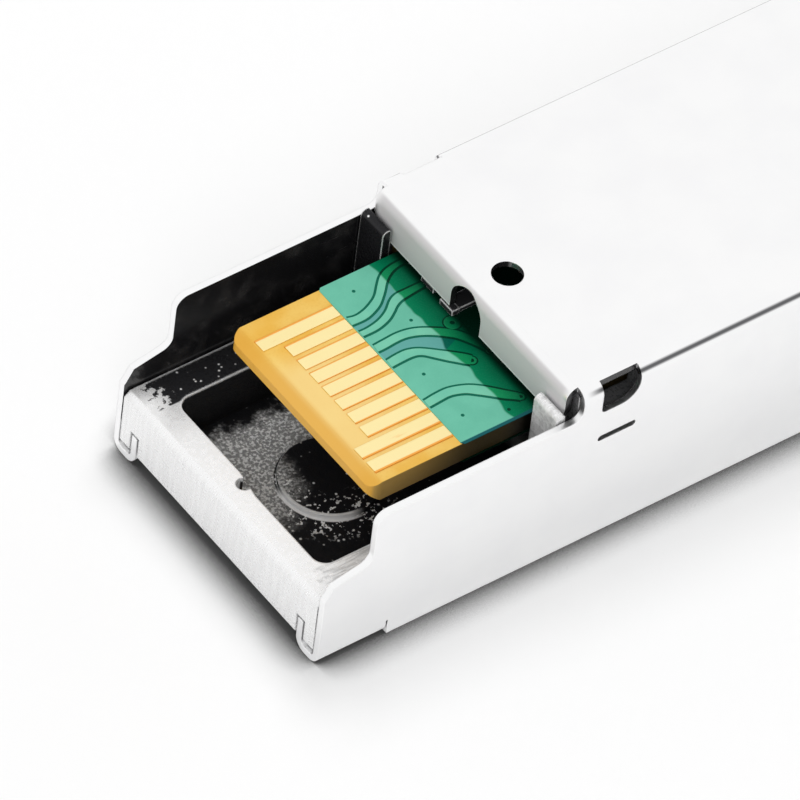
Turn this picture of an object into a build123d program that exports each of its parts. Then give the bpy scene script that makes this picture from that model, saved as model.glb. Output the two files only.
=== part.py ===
from build123d import *
import math
import os

# Pluggable fibre module, lying on its label face with the sheet cover upwards.
# Millimetres. X runs from the edge connector towards the optical port, Z is up.
# X is zero halfway along the label face that the cage holds, Z is zero on that face.

# Solids that join run this far into each other, and cuts run this far past a face.
bite = 0.3
past = 1.0

# Envelope
module_width = 13.4
module_height = 8.5
shoulder_to_rear = 45.0
shoulder_to_stop = 2.5
nose_length = 9.0
nose_side_step = 0.15
nose_rise = 1.2
nose_corner = 0.5
nose_edge = 0.3
front_joint = 0.1
cage_corner = 0.25

# Sheet cover
sheet = 0.3
bend_radius = 0.55
mouth_length = 11.25
lip_drop = 1.9
lip_side_gap = 0.25
lip_corner = 0.9
lip_notch_width = 1.9
lip_notch_offset = 0.2
lip_notch_top = 0.25
relief_depth = 0.5
relief_radius = 0.5
skirt_drop = 1.35
skirt_step_place = 2.15
skirt_step_height = 4.65
skirt_rear_height = 4.15
skirt_step_radius = 0.55
cover_front_gap = 1.2
inspection_hole_diameter = 1.28
inspection_hole_setback = 1.7
window_length = 1.8
window_setback = 1.4
window_drop = 1.5
window_reach = 0.4
window_large_corner = 0.85
window_small_corner = 0.25
slit_length = 1.8
slit_width = 0.3
slit_drop = 2.95
tab_length = 3.2
tab_reach = 1.4
tab_upturn = 1.5
tab_relief = 0.08
front_tab_setback = 4.5
latch_slot_width = 4.2
latch_slot_length = 2.6
skirt_slope = 0.2
mouth_corner_run = 0.5
mouth_corner_drop = 0.6
mouth_corner_radius = 0.5
mouth_corner_blend = 0.3
latch_slot_corner = 0.5

# Cast housing
housing_gap = 0.07
floor_thickness = 0.9
end_wall = 1.27
end_wall_step = 0.2
rail_height = 3.25
pocket_side_gap = 0.25
pocket_corner = 0.6
thumb_notch_radius = 0.32
rear_chamfer = 0.65
rail_bevel = 0.25
disc_radius = 2.05
disc_height = 0.2
disc_place = 5.5
disc_offset = 0.2
post_start = 10.75
post_length = 0.4
post_drop = 1.05
wall_thickness = 0.8
wall_top_gap = 0.07
lip_clearance = 0.1
ledge_width = 0.75
ledge_length = 4.0
ledge_places = (16.0, 25.4)
bulkhead_thickness = 2.4
bulkhead_setback = 1.0
tab_clearance = 0.12
post_corner = 0.12
post_foot = 0.25
rail_corner = 0.3
thumb_notch_set_in = 0.12
thumb_notch_offset = 0.1
thumb_notch_blend = 0.3
thumb_notch_shoulder = 0.35
pocket_run_out = 0.5
window_room = 0.3
slit_room = 0.15
pedestal_margin = 0.3
saddle_width = 4.0
saddle_set_in = 0.6
lever_opening_drop = 0.25
cavity_wall = 1.1
pin_fit = 0.01
cheek_rear_gap = 0.2
cheek_corner = 0.1

# Circuit board
board_thickness = 1.0
board_drop = 3.25
neck_step = 0.79
board_start = 3.44
board_side_gap = 0.09
board_front_gap = 3.06
board_corner = 0.5
board_bevel = 0.3
board_bevel_run = 0.45
neck_clearance = 0.5
neck_inner_corner = 0.3
neck_outer_corner = 0.2
board_front_corner = 0.4

# Edge contacts
contact_side_margin = 1.0
contact_gap = 0.2
contact_row_offset = 0.2
contact_thickness = 0.04
contact_end = 7.6
contact_long_start = 3.95
contact_middle_start = 4.4
contact_short_start = 4.78
contact_count = 10
long_upper_contacts = (0, 8, 9)
long_lower_contacts = (0, 3, 6, 9)
middle_lower_contacts = (4, 5)

# Optical line
axis_rise = 0.25
port_width = 4.7
port_depth = 10.1
port_corner = 0.25
port_guide_width = 2.5
port_guide_depth = 1.4
port_catch_width = 4.4
port_frame = 2.6
port_lead_in = 0.3
ferrule_bore = 1.26
sleeve_outer = 1.62
sleeve_length = 5.4
sleeve_slit = 0.16
stub_diameter = 1.25
stub_length = 3.0
barrel_diameter = 2.9
barrel_setback = 5.5
barrel_lip_bore = 1.36
flange_share = 0.565
flange_thickness = 0.9
neck_diameter = 3.4
neck_length = 1.1
barrel_wall_gap = 0.04
ring_diameter = 4.2
ring_length = 1.1
optics_share = 0.511
optics_length = 6.0
weld_ring_length = 0.4
can_header_diameter = 5.4
can_header_thickness = 1.2
can_cap_diameter = 3.6
laser_cap_length = 1.9
diode_light_gap = 1.1
diode_setback = 3.6
can_lead_diameter = 0.45
can_lead_circle = 1.27
can_lead_length = 0.75
can_seat_gap = 0.02
filter_width = 1.4
filter_thickness = 0.3
retainer_thickness = 0.95
retainer_gap = 0.06
port_guide_start = 1.0
port_catch_start = 2.0
sleeve_front_gap = 0.3
sleeve_end_gap = 0.02
sleeve_room = 0.03
stub_overlap = 0.15
stub_fit = 0.005
stub_collar_diameter = 1.9
stub_edge = 0.08
barrel_edge = 0.2
bore_relief = 0.3
light_way_radius = 0.45
optics_corner = 0.4
can_end_gap = 0.1
weld_ring_wall = 0.88
can_header_edge = 0.15
can_cap_edge = 0.3
lens_radius = 0.5
lens_set_in = 0.25
retainer_crown = 0.66
retainer_side_gap = 0.08
retainer_low_corner = 0.3
retainer_top_corner = 0.6
laser_leads = (0, 90, 180, 270)
diode_leads = (45, 135, 225, 315)

# Flexible circuits
flex_thickness = 0.15
flex_bend = 0.5
flex_width = 4.6
flex_overlap = 2.0
flex_lead_hole = 0.3
flex_standoff = 0.3
side_flex_width = 3.4
flexes_gap = 0.5
flex_drop = 0.2
side_flex_start = 0.4
side_flex_fold = 1.6
side_flex_corner = 0.8

# Latch gear
latch_cavity_width = 6.3
latch_cavity_depth = 1.2
boss_height = 0.45
boss_width = 2.6
boss_length = 2.3
boss_land = 0.45
boss_flat = 0.9
lever_end_margin = 0.3
lever_thickness = 0.4
lever_top_gap = 0.05
lever_side_gap = 0.2
lever_rear_width = 3.2
lever_front_width = 5.0
lever_front_thickness = 0.4
lever_hub_radius = 0.85
lever_front_reach = 5.2
pivot_setback = 4.5
pivot_diameter = 0.8
pivot_rise = 0.2
running_gap = 0.03
spring_thickness = 0.12
spring_width = 2.0
spring_length = 2.4
spring_gap = 0.02
lever_rear_corner = 0.15
lever_front_corner = 0.1
boss_root = 0.1
pin_edge = 0.08
spring_start_gap = 0.4

# Wire bail
wire_diameter = 0.8
bail_pivot_setback = 3.7
bail_set_in = 0.6
bail_foot_height = 1.2
bail_front_gap = 0.15
bail_corner = 0.7
crank_offset = 0.4
crank_half_width = 1.6
crank_taper = 0.5
crank_corner = 0.5
crank_sweep_gap = 0.1
journal_gap = 0.02
crank_clearance = 0.1

# Spring fingers round the nose
collar_start_gap = 0.4
collar_length = 2.9
collar_recess = 0.2
collar_thickness = 0.12
collar_band = 0.8
finger_width = 1.1
finger_gap = 0.3
finger_rise = 0.3
side_finger_margin = 1.45
collar_corner = 0.15
collar_end_gap = 0.05
finger_root = 0.15

# Chips on the board
driver_chip_size = 5.0
driver_chip_height = 0.85
controller_chip_size = 4.0
controller_chip_height = 0.9
thermal_pad_thickness = 0.45
memory_chip_length = 3.0
memory_chip_width = 3.0
memory_chip_height = 0.9
memory_lead_width = 0.25
memory_lead_pitch = 0.65
memory_lead_reach = 0.85
memory_lead_thickness = 0.13
memory_lead_count = 4
chip_edge = 0.12
memory_chip_lift = 0.1
memory_lead_knee = 0.27
memory_lead_heel = 0.45
memory_lead_slant = 0.1
memory_lead_root = 0.15
memory_lead_inner_bend = 0.05
memory_lead_outer_bend = 0.12
thermal_pad_margin = 0.1
end_cap_share = 0.22
end_cap_proud = 0.03
capacitor_size = (1.6, 0.8, 0.8)
resistor_size = (1.0, 0.5, 0.35)
inductor_size = (2.0, 1.25, 1.1)
array_size = (1.6, 0.8, 0.28)

# Places of the chips: distance from the rear end, share of the half board's width across
driver_place = (24.6, 0.167)
controller_place = (22.4, 0.0)
memory_start = 17.4
memory_edge_gap = 0.14

# Places of the two-ended parts, then whether each lies across the board and on its upper face
capacitor_places = (
    (15.2, 0.74, True, True), (15.2, 0.4, True, True), (20.6, 0.78, False, True),
    (20.6, 0.58, False, True), (20.6, -0.26, True, True), (28.2, -0.78, False, True),
    (18.4, 0.72, False, False), (18.4, -0.72, False, False), (25.4, 0.48, True, False),
    (25.4, -0.48, True, False), (28.6, 0.41, False, False), (28.6, -0.41, False, False),
)
resistor_places = (
    (12.9, -0.72, False, True), (14.2, -0.74, False, True), (20.7, 0.26, False, True),
    (20.7, 0.04, False, True), (22.9, -0.82, False, True), (25.0, -0.82, False, True),
    (15.8, 0.63, False, False), (15.8, -0.63, False, False), (28.6, 0.04, False, False),
)
inductor_places = ((14.0, -0.22, True, True), (16.8, 0.4, True, True))
array_places = ((12.1, 0.482, False, True), (12.0, 0.234, False, True), (12.3, -0.538, False, True))

# Worked out from the sizes above
shoulder = (shoulder_to_rear - shoulder_to_stop) / 2
rear = shoulder - shoulder_to_rear
stop = shoulder + shoulder_to_stop
nose_front = stop + nose_length
nose_half = module_width / 2 + nose_side_step
bail_half = nose_half - bail_set_in
half_width = module_width / 2
inner_half = half_width - sheet
inner_top = module_height - sheet
housing_half = inner_half - housing_gap
housing_top = inner_top - wall_top_gap
trough_half = housing_half - wall_thickness
board_height = module_height - board_drop
board_top = board_height + board_thickness
neck_end = post_start + post_length + neck_clearance
board_half = trough_half - board_side_gap
neck_half = board_half - neck_step
pocket_half = neck_half + pocket_side_gap
contact_pitch = 2 * (neck_half - contact_side_margin) / (contact_count - 1)
contact_width = contact_pitch - contact_gap
memory_place = memory_chip_width / 2 + memory_lead_reach + memory_edge_gap - board_half
cover_front = shoulder - cover_front_gap
bulkhead_rear = shoulder - bulkhead_setback
bulkhead_front = bulkhead_rear + bulkhead_thickness
nose_top = module_height + nose_rise
skirt_height = module_height - skirt_drop
window_height = module_height - window_drop
slit_height = module_height - slit_drop
post_height = module_height - post_drop
latch_cavity_floor = module_height - latch_cavity_depth
pivot_height = module_height + pivot_rise
axis_height = module_height / 2 + axis_rise
retainer_height = axis_height + neck_diameter / 2 + barrel_wall_gap + retainer_crown
flange_diameter = module_height * flange_share
optics_size = 2 * trough_half * optics_share
photodiode_cap_length = optics_size / 2 - diode_light_gap
mouth = rear + mouth_length
slot_rear = cover_front - latch_slot_length
pivot_x = shoulder + pivot_setback
bail_x = nose_front - bail_pivot_setback
wire_radius = wire_diameter / 2
cheek_half = bail_half - bail_corner - running_gap
bail_z = pivot_height
crank_x = bail_x + crank_offset
lever_front_bottom = bail_z + wire_radius + crank_clearance
front_tab_end = cover_front - front_tab_setback
tab_starts = (rear, front_tab_end - tab_length)
lever_top = module_height - lever_top_gap
lever_bottom = lever_top - lever_thickness
flange_front = bulkhead_rear + flange_thickness
neck_front = bulkhead_rear
neck_rear = neck_front - neck_length
receptacle_rear = neck_rear - flange_thickness
barrel_tip = nose_front - barrel_setback
sleeve_front = barrel_tip - sleeve_front_gap
sleeve_rear = sleeve_front - sleeve_length
stub_front = sleeve_rear + stub_overlap
stub_rear = stub_front - stub_length
optics_front = receptacle_rear - ring_length
optics_rear = optics_front - optics_length
laser_header_front = optics_rear - weld_ring_length
laser_header_rear = laser_header_front - can_header_thickness
board_front = laser_header_rear - board_front_gap
diode_x = optics_rear + diode_setback
diode_header_outer = optics_size / 2 + can_header_thickness


def span(low_corner, high_corner):
    size = [high - low for low, high in zip(low_corner, high_corner)]
    middle = [(high + low) / 2 for low, high in zip(low_corner, high_corner)]
    return Pos(*middle) * Box(*size)


def outline(points, radii):
    return make_face(FilletPolyline(*points, radius=radii, close=True))


def upright(plan, z_low, z_high):
    return extrude(Plane.XY.offset(z_low) * plan, z_high - z_low)


def lengthwise(section, x_low, x_high):
    return extrude(Plane.YZ.offset(x_low) * section, x_high - x_low)


def crosswise(side, y_low, y_high):
    return extrude(Plane.XZ.offset(-y_high) * side, y_high - y_low)


def along_x(radius, x_low, x_high, y=0.0, z=0.0):
    return lengthwise(Pos(y, z) * Circle(radius), x_low, x_high)


def along_y(radius, y_low, y_high, x=0.0, z=0.0):
    return crosswise(Pos(x, z) * Circle(radius), y_low, y_high)


def both_sides(solid):
    return solid + mirror(solid, Plane.XZ)


# The cover is one folded sheet: plate, side walls, rear lip, skirts and hooked tabs.

def cover_section(top_half, top, fold, skin):
    outer = outline(
        [(-top_half, 0), (-top_half, top), (top_half, top), (top_half, 0)],
        [0, fold, fold, 0],
    )
    inner = outline(
        [(-top_half + skin, -1), (-top_half + skin, top - skin),
         (top_half - skin, top - skin), (top_half - skin, -1)],
        [0, fold - skin, fold - skin, 0],
    )
    return outer - inner


def cover_mouth_cut():
    step = rear + skirt_step_place
    relief = mouth + relief_depth
    above = module_height + past
    behind = rear - past
    side = outline(
        [(behind, skirt_rear_height - skirt_slope), (step, skirt_step_height), (step, skirt_height),
         (relief, skirt_height), (relief, above), (behind, above)],
        [0, skirt_step_radius, skirt_step_radius, relief_radius, 0, 0],
    )
    low = skirt_rear_height - mouth_corner_drop
    corner = outline(
        [(behind, low - mouth_corner_radius), (rear, low),
         (rear + mouth_corner_run, skirt_rear_height + mouth_corner_blend),
         (behind, skirt_rear_height + past)],
        [0, mouth_corner_radius, mouth_corner_blend, 0],
    )
    return crosswise(side, -module_width, module_width) + crosswise(corner, -module_width, module_width)


def cover_lip():
    bottom = module_height - lip_drop
    join = mouth + relief_depth + sheet / 2
    side = outline(
        [(mouth, bottom), (mouth, module_height), (join, module_height),
         (join, inner_top), (mouth + sheet, inner_top), (mouth + sheet, bottom)],
        [0, bend_radius, 0, 0, bend_radius - sheet, 0],
    )
    half = inner_half - lip_side_gap
    lip = crosswise(side, -half, half)
    lower = lip.edges().filter_by(Axis.X).group_by(Axis.Z)[0]
    lip = fillet(lower, lip_corner)
    reach = lip_notch_width / 2
    arch = module_height - lip_notch_top - reach
    notch_end = mouth + relief_depth
    notch = along_x(reach, mouth - past, notch_end, lip_notch_offset, arch)
    notch += span(
        (mouth - past, lip_notch_offset - reach, bottom - past),
        (notch_end, lip_notch_offset + reach, arch),
    )
    return lip - notch


def cover_tab(x_low):
    # A tab hooks under the housing's lower corner and turns up into its groove.
    edge = half_width - tab_reach
    fold = bend_radius - sheet
    outer = outline(
        [(edge, 0), (half_width, 0), (half_width, tab_upturn), (edge, tab_upturn)],
        [bend_radius, bend_radius, 0, 0],
    )
    inner = outline(
        [(edge + sheet, sheet), (inner_half, sheet), (inner_half, tab_upturn + past),
         (edge + sheet, tab_upturn + past)],
        [fold, fold, 0, 0],
    )
    return both_sides(lengthwise(outer - inner, x_low, x_low + tab_length))


def cover_tab_cut(x_low):
    # The wall is cleared where a tab takes over, with a relief slit beside it.
    low = x_low - tab_relief
    high = x_low + tab_length + tab_relief
    inside = inner_half - housing_gap
    return both_sides(span((low, inside, -past), (high, half_width + past, tab_upturn / 2)))


def cover_tab_wall(x_low):
    wall = span((x_low, inner_half, bend_radius), (x_low + tab_length, half_width, tab_upturn))
    return both_sides(wall)


def window_cut():
    low = mouth + window_setback
    high = low + window_length
    side = outline(
        [(low, window_height), (high, window_height), (high, module_height + past),
         (low, module_height + past)],
        [window_small_corner, window_large_corner, 0, 0],
    )
    return both_sides(crosswise(side, half_width - window_reach, half_width + past))


def slit_cut():
    middle = mouth + window_setback + window_length / 2
    side = Pos(middle, slit_height) * SlotOverall(slit_length, slit_width)
    return both_sides(crosswise(side, inner_half - bite, half_width + past))


def cover():
    section = cover_section(half_width, module_height, bend_radius, sheet)
    folded = lengthwise(section, rear, cover_front)
    folded -= cover_mouth_cut()
    folded += cover_lip()
    hole_x = mouth + inspection_hole_setback
    folded -= Pos(hole_x, 0, module_height) * Cylinder(inspection_hole_diameter / 2, 4 * sheet)
    folded -= window_cut()
    folded -= slit_cut()
    for x_low in tab_starts:
        folded -= cover_tab_cut(x_low)
        folded += cover_tab_wall(x_low)
        folded += cover_tab(x_low)
    side = latch_slot_width / 2
    notch = outline(
        [(slot_rear, -side), (cover_front + past, -side), (cover_front + past, side), (slot_rear, side)],
        [latch_slot_corner, 0, 0, latch_slot_corner],
    )
    folded -= upright(notch, inner_top - past, module_height + past)
    return folded


# The housing is one casting: open trough, end wall, posts, bulkhead and nose.

def housing_side():
    rail = rear + post_start
    post = rail + post_length
    wall = mouth + relief_depth
    under_lip = module_height - lip_drop - lip_clearance
    return outline(
        [(rear, 0), (stop, 0), (stop, housing_top), (wall, housing_top), (wall, under_lip),
         (post, under_lip), (post, post_height), (rail, post_height), (rail, rail_height),
         (rear, rail_height)],
        [0, 0, 0, post_corner, 0, 0, post_corner, post_foot, rail_corner, 0],
    )


def pocket_plan():
    half = pocket_half
    deep = rear + end_wall + end_wall_step / 2
    shallow = rear + end_wall - end_wall_step / 2
    open_end = rear + post_start + post_length + pocket_run_out
    step = thumb_notch_radius + thumb_notch_shoulder
    plan = outline(
        [(shallow, -half), (open_end, -half), (open_end, half), (deep, half),
         (deep, step), (shallow, -step)],
        [pocket_corner, 0, 0, pocket_corner, thumb_notch_blend, thumb_notch_blend],
    )
    notch = Pos(rear + end_wall - thumb_notch_set_in, thumb_notch_offset) * Circle(thumb_notch_radius)
    return plan + notch


def trough_cut():
    low = rear + post_start + post_length
    trough = span((low, -trough_half, floor_thickness), (bulkhead_rear, trough_half, nose_top))
    return trough + upright(pocket_plan(), floor_thickness, nose_top)


def board_ledges():
    ledges = []
    for place in ledge_places:
        low = rear + place
        ledges.append(span(
            (low, trough_half - ledge_width, floor_thickness - bite),
            (low + ledge_length, trough_half + bite, board_height),
        ))
    return both_sides(ledges[0] + ledges[1:])


def tab_groove(x_low):
    # Room in the casting for a hooked tab of the cover.
    edge = half_width - tab_reach - tab_clearance
    low = x_low - tab_clearance
    high = x_low + tab_length + tab_clearance
    shelf = span((low, edge, -past), (high, half_width + past, sheet + tab_clearance))
    slot_side = edge + sheet + 2 * tab_clearance
    slot = span((low, edge, -past), (high, slot_side, tab_upturn + tab_clearance))
    return both_sides(shelf + slot)


def heat_pedestal():
    top = board_height - controller_chip_height - thermal_pad_thickness
    half = controller_chip_size / 2 + pedestal_margin
    middle = rear + controller_place[0]
    pedestal = span((middle - half, -half, floor_thickness - bite), (middle + half, half, top))
    return chamfer(pedestal.faces().sort_by(Axis.Z)[-1].edges(), pedestal_margin)


def optics_saddle():
    low = optics_rear + saddle_set_in
    high = optics_front - saddle_set_in
    top = axis_height - optics_size / 2
    return span((low, -saddle_width / 2, floor_thickness - bite), (high, saddle_width / 2, top))


def nose_blank():
    # Inside the cage the nose keeps the module's size, and grows in front of the stop.
    side = nose_half
    inside = outline(
        [(-half_width, 0), (half_width, 0), (half_width, module_height), (-half_width, module_height)],
        [cage_corner, cage_corner, bend_radius, bend_radius],
    )
    outside = outline([(-side, 0), (side, 0), (side, nose_top), (-side, nose_top)], [nose_corner] * 4)
    front = lengthwise(outside, stop, nose_front)
    front = chamfer(front.faces().sort_by(Axis.X)[-1].edges(), nose_edge)
    return lengthwise(inside, cover_front + front_joint, stop) + front


def collar_bed(skin):
    # Section of the nose inside the band, grown by the band's skin.
    side = half_width - collar_recess + skin
    low = collar_recess - skin
    top = module_height - low
    corner = collar_corner + skin
    fold = bend_radius - collar_recess + skin
    return outline(
        [(-side, low), (side, low), (side, top), (-side, top)],
        [corner, corner, fold, fold],
    )


def collar_groove():
    low = cover_front + collar_start_gap
    high = low + collar_length + 2 * collar_end_gap
    ring = span((low, -half_width - past, -past), (high, half_width + past, module_height + past))
    return ring - lengthwise(collar_bed(0), low - past, high + past)


def cheek_cut():
    # The wire's arms swing beside the upper part of the nose.
    floor = bail_z - wire_radius - crank_sweep_gap
    back = bail_x - wire_radius - cheek_rear_gap
    front = nose_front + past
    above = nose_top + past
    side = outline(
        [(back, floor), (front, floor), (front, above), (back, above)],
        [cheek_corner, 0, 0, 0],
    )
    return both_sides(crosswise(side, cheek_half, 2 * nose_half))


def journal_cut():
    reach = wire_radius + journal_gap
    seat = along_y(reach, -2 * nose_half, 2 * nose_half, bail_x, bail_z)
    opening = span(
        (bail_x - reach, -2 * nose_half, bail_z),
        (bail_x + reach, 2 * nose_half, nose_top + past),
    )
    return seat + opening


def latch_cavity_cut():
    half = latch_cavity_width / 2
    low = (bulkhead_rear - past, -half, latch_cavity_floor)
    return span(low, (nose_front - cavity_wall, half, nose_top + past))


def lever_front_way():
    # The lever's finger end passes over the nose's front wall.
    half = lever_front_width / 2 + lever_side_gap
    low = (nose_front - 2 * cavity_wall, -half, lever_front_bottom - lever_opening_drop)
    return span(low, (nose_front + past, half, nose_top + past))


def port_cut():
    half = port_width / 2
    low = nose_front - port_depth
    square = outline(
        [(-half, axis_height - half), (half, axis_height - half),
         (half, axis_height + half), (-half, axis_height + half)],
        [port_corner] * 4,
    )
    cut = lengthwise(square, low, nose_front + past)
    wide = port_width + 4 * port_lead_in
    lead = loft([
        Plane.YZ.offset(nose_front - port_lead_in) * Pos(0, axis_height) * Rectangle(port_width, port_width),
        Plane.YZ.offset(nose_front + port_lead_in) * Pos(0, axis_height) * Rectangle(wide, wide),
    ])
    guide_floor = axis_height - half - port_guide_depth
    guide = span(
        (low + port_guide_start, -port_guide_width / 2, guide_floor),
        (nose_front + past, port_guide_width / 2, axis_height),
    )
    catch = span(
        (low + port_catch_start, -port_catch_width / 2, guide_floor),
        (nose_front - port_frame, port_catch_width / 2, axis_height),
    )
    return cut + lead + guide + catch


def receptacle_way():
    rear_end = bulkhead_rear - past
    seat_end = bulkhead_rear + flange_thickness + barrel_wall_gap
    bore = along_x(barrel_diameter / 2 + barrel_wall_gap, rear_end, bulkhead_front + past, 0, axis_height)
    seat = along_x(flange_diameter / 2 + barrel_wall_gap, rear_end, seat_end, 0, axis_height)
    return bore + seat


def rear_edge(cast, height):
    return [
        edge for edge in cast.edges().filter_by(Axis.Y)
        if math.isclose(edge.center().X, rear, abs_tol=0.01)
        and math.isclose(edge.center().Z, height, abs_tol=0.01)
    ]


def window_rooms():
    low = mouth + window_setback
    high = low + window_length
    behind_window = span(
        (low - window_room, trough_half - bite, window_height - window_room),
        (high + window_room, half_width, module_height + past),
    )
    behind_slit = span(
        (low - slit_room, housing_half - bite, slit_height - window_room),
        (high + slit_room, half_width, slit_height + window_room),
    )
    return both_sides(behind_window + behind_slit)


def housing():
    cast = crosswise(housing_side(), -housing_half, housing_half)
    cast = chamfer(rear_edge(cast, 0), rear_chamfer)
    cast = chamfer(rear_edge(cast, rail_height), rail_bevel)
    cast += nose_blank()
    cast -= trough_cut()
    cast += board_ledges()
    cast += heat_pedestal()
    cast += optics_saddle()
    cast += Pos(rear + disc_place, disc_offset, floor_thickness) * Cylinder(disc_radius, 2 * disc_height)
    cast -= window_rooms()
    for x_low in tab_starts:
        cast -= tab_groove(x_low)
    cast -= collar_groove()
    cast -= cheek_cut()
    cast -= latch_cavity_cut()
    cast -= lever_front_way()
    cast -= journal_cut()
    cast -= port_cut()
    cast -= receptacle_way()
    return cast - along_y(pivot_diameter / 2 + pin_fit, -2 * nose_half, 2 * nose_half, pivot_x, pivot_height)


# Circuit board with its bevelled tongue

def board():
    low = rear + board_start
    neck = rear + neck_end
    half = neck_half
    plan = outline(
        [(low, -half), (neck, -half), (neck, -board_half), (board_front, -board_half),
         (board_front, board_half), (neck, board_half), (neck, half), (low, half)],
        [board_corner, neck_inner_corner, neck_outer_corner, board_front_corner,
         board_front_corner, neck_outer_corner, neck_inner_corner, board_corner],
    )
    laminate = upright(plan, board_height, board_top)
    slope = board_bevel / board_bevel_run
    above = board_top + past
    bevel = make_face(Polyline(
        (low - past, above), (low - past, board_top - board_bevel - past * slope),
        (low + board_bevel_run, board_top), (low + board_bevel_run, above), close=True,
    ))
    upper = crosswise(bevel, -half - past, half + past)
    lower = mirror(upper, Plane.XY.offset(board_height + board_thickness / 2))
    return laminate - upper - lower


def contact(start, place, z_low, row_middle):
    y = row_middle + (contact_count - 1) / 2 * contact_pitch - place * contact_pitch
    return span(
        (rear + start, y - contact_width / 2, z_low),
        (rear + contact_end, y + contact_width / 2, z_low + contact_thickness),
    )


def contacts():
    pads = []
    for place in range(contact_count):
        start = contact_long_start if place in long_upper_contacts else contact_short_start
        pads.append(contact(start, place, board_top, -contact_row_offset))
    for place in range(contact_count):
        start = contact_short_start
        if place in long_lower_contacts:
            start = contact_long_start
        if place in middle_lower_contacts:
            start = contact_middle_start
        pads.append(contact(start, place, board_height - contact_thickness, contact_row_offset))
    return pads


# Chips seated on either face of the board

def flat_package(place, size, height, upper):
    x = rear + place[0]
    y = place[1] * board_half
    z = board_top if upper else board_height - height
    body = Pos(x, y, z + height / 2) * Box(size, size, height)
    far = body.faces().sort_by(Axis.Z)[-1 if upper else 0]
    return chamfer(far.edges(), chip_edge)


def memory_chip():
    x = rear + memory_start
    y = memory_place
    middle = board_top + memory_chip_lift + memory_chip_height / 2
    body = Pos(x, y, middle) * Box(memory_chip_length, memory_chip_width, memory_chip_height)
    body = chamfer(body.faces().sort_by(Axis.Z)[-1].edges(), chip_edge)
    reach = memory_chip_width / 2
    half = memory_lead_thickness / 2
    foot = board_top + memory_lead_thickness
    leg = outline(
        [(reach - bite, middle + half), (reach + memory_lead_knee, middle + half),
         (reach + memory_lead_heel, foot), (reach + memory_lead_reach, foot),
         (reach + memory_lead_reach, board_top), (reach + memory_lead_heel - memory_lead_slant, board_top),
         (reach + memory_lead_root, middle - half), (reach - bite, middle - half)],
        [0, memory_lead_outer_bend, memory_lead_inner_bend, 0,
         0, memory_lead_outer_bend, memory_lead_inner_bend, 0],
    )
    for number in range(memory_lead_count):
        place = x + (number - (memory_lead_count - 1) / 2) * memory_lead_pitch
        lead = lengthwise(leg, place - memory_lead_width / 2, place + memory_lead_width / 2)
        body += Pos(0, y, 0) * both_sides(lead)
    return body


def chip_part(place, size):
    length, width, height = size
    cap = length * end_cap_share
    proud = 2 * end_cap_proud
    core = Box(length - 2 * cap, width - proud, height - proud)
    ends = Pos(length / 2 - cap / 2, 0, 0) * Box(cap, width, height)
    ends += Pos(-length / 2 + cap / 2, 0, 0) * Box(cap, width, height)
    x, share, across, upper = place
    z = board_top + height / 2 if upper else board_height - height / 2
    return Pos(rear + x, share * board_half, z) * Rot(0, 0, 90 if across else 0) * (core + ends)


def chip_parts(places, size):
    return [chip_part(place, size) for place in places]


def thermal_pad():
    high = board_height - controller_chip_height
    half = controller_chip_size / 2 - thermal_pad_margin
    middle = rear + controller_place[0]
    return span((middle - half, -half, high - thermal_pad_thickness), (middle + half, half, high))


# Optical line, turned parts about the port's axis

def turned(points):
    # Points are (distance along the module, radius about the port's axis).
    face = Plane.XZ * make_face(Polyline(*points, close=True))
    return Pos(0, 0, axis_height) * revolve(face, Axis.X, 360)


def receptacle():
    barrel = barrel_diameter / 2
    flange = flange_diameter / 2
    neck = neck_diameter / 2
    bore = stub_collar_diameter / 2 + stub_fit
    room = sleeve_outer / 2 + sleeve_room
    lip = barrel_lip_bore / 2
    room_front = sleeve_front + sleeve_end_gap
    room_rear = sleeve_rear - sleeve_end_gap
    stub_stop = stub_rear - sleeve_end_gap
    tip = barrel_tip - barrel_edge
    return turned([
        (receptacle_rear, bore + bore_relief), (receptacle_rear, flange), (neck_rear, flange),
        (neck_rear, neck), (neck_front, neck), (neck_front, flange), (flange_front, flange),
        (flange_front, barrel), (tip, barrel), (barrel_tip, barrel - barrel_edge),
        (barrel_tip, lip + barrel_edge), (room_front, lip), (room_front, room),
        (room_rear, room), (room_rear, bore), (stub_stop, bore), (stub_stop, bore + bore_relief),
    ])


def split_sleeve():
    tube = along_x(sleeve_outer / 2, sleeve_rear, sleeve_front, 0, axis_height)
    tube -= along_x(ferrule_bore / 2, sleeve_rear - past, sleeve_front + past, 0, axis_height)
    slit = span(
        (sleeve_rear - past, -sleeve_slit / 2, axis_height),
        (sleeve_front + past, sleeve_slit / 2, axis_height + sleeve_outer),
    )
    return tube - slit


def fibre_stub():
    ferrule = stub_diameter / 2
    collar = stub_collar_diameter / 2
    collar_front = sleeve_rear - sleeve_end_gap
    return turned([
        (stub_rear, 0), (stub_rear, collar - stub_edge), (stub_rear + stub_edge, collar),
        (collar_front, collar), (collar_front, ferrule), (stub_front - stub_edge, ferrule),
        (stub_front, ferrule - stub_edge), (stub_front, 0),
    ])


def alignment_ring():
    hole = stub_diameter / 2 + bore_relief
    return turned([
        (optics_front, hole), (optics_front, ring_diameter / 2),
        (receptacle_rear, ring_diameter / 2), (receptacle_rear, hole),
    ])


def filter_slot(spare):
    plate = Box(filter_thickness + 2 * spare, filter_width + 2 * spare, filter_width + 2 * spare)
    return Pos(diode_x, 0, axis_height) * Rot(0, 0, 45) * plate


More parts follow.
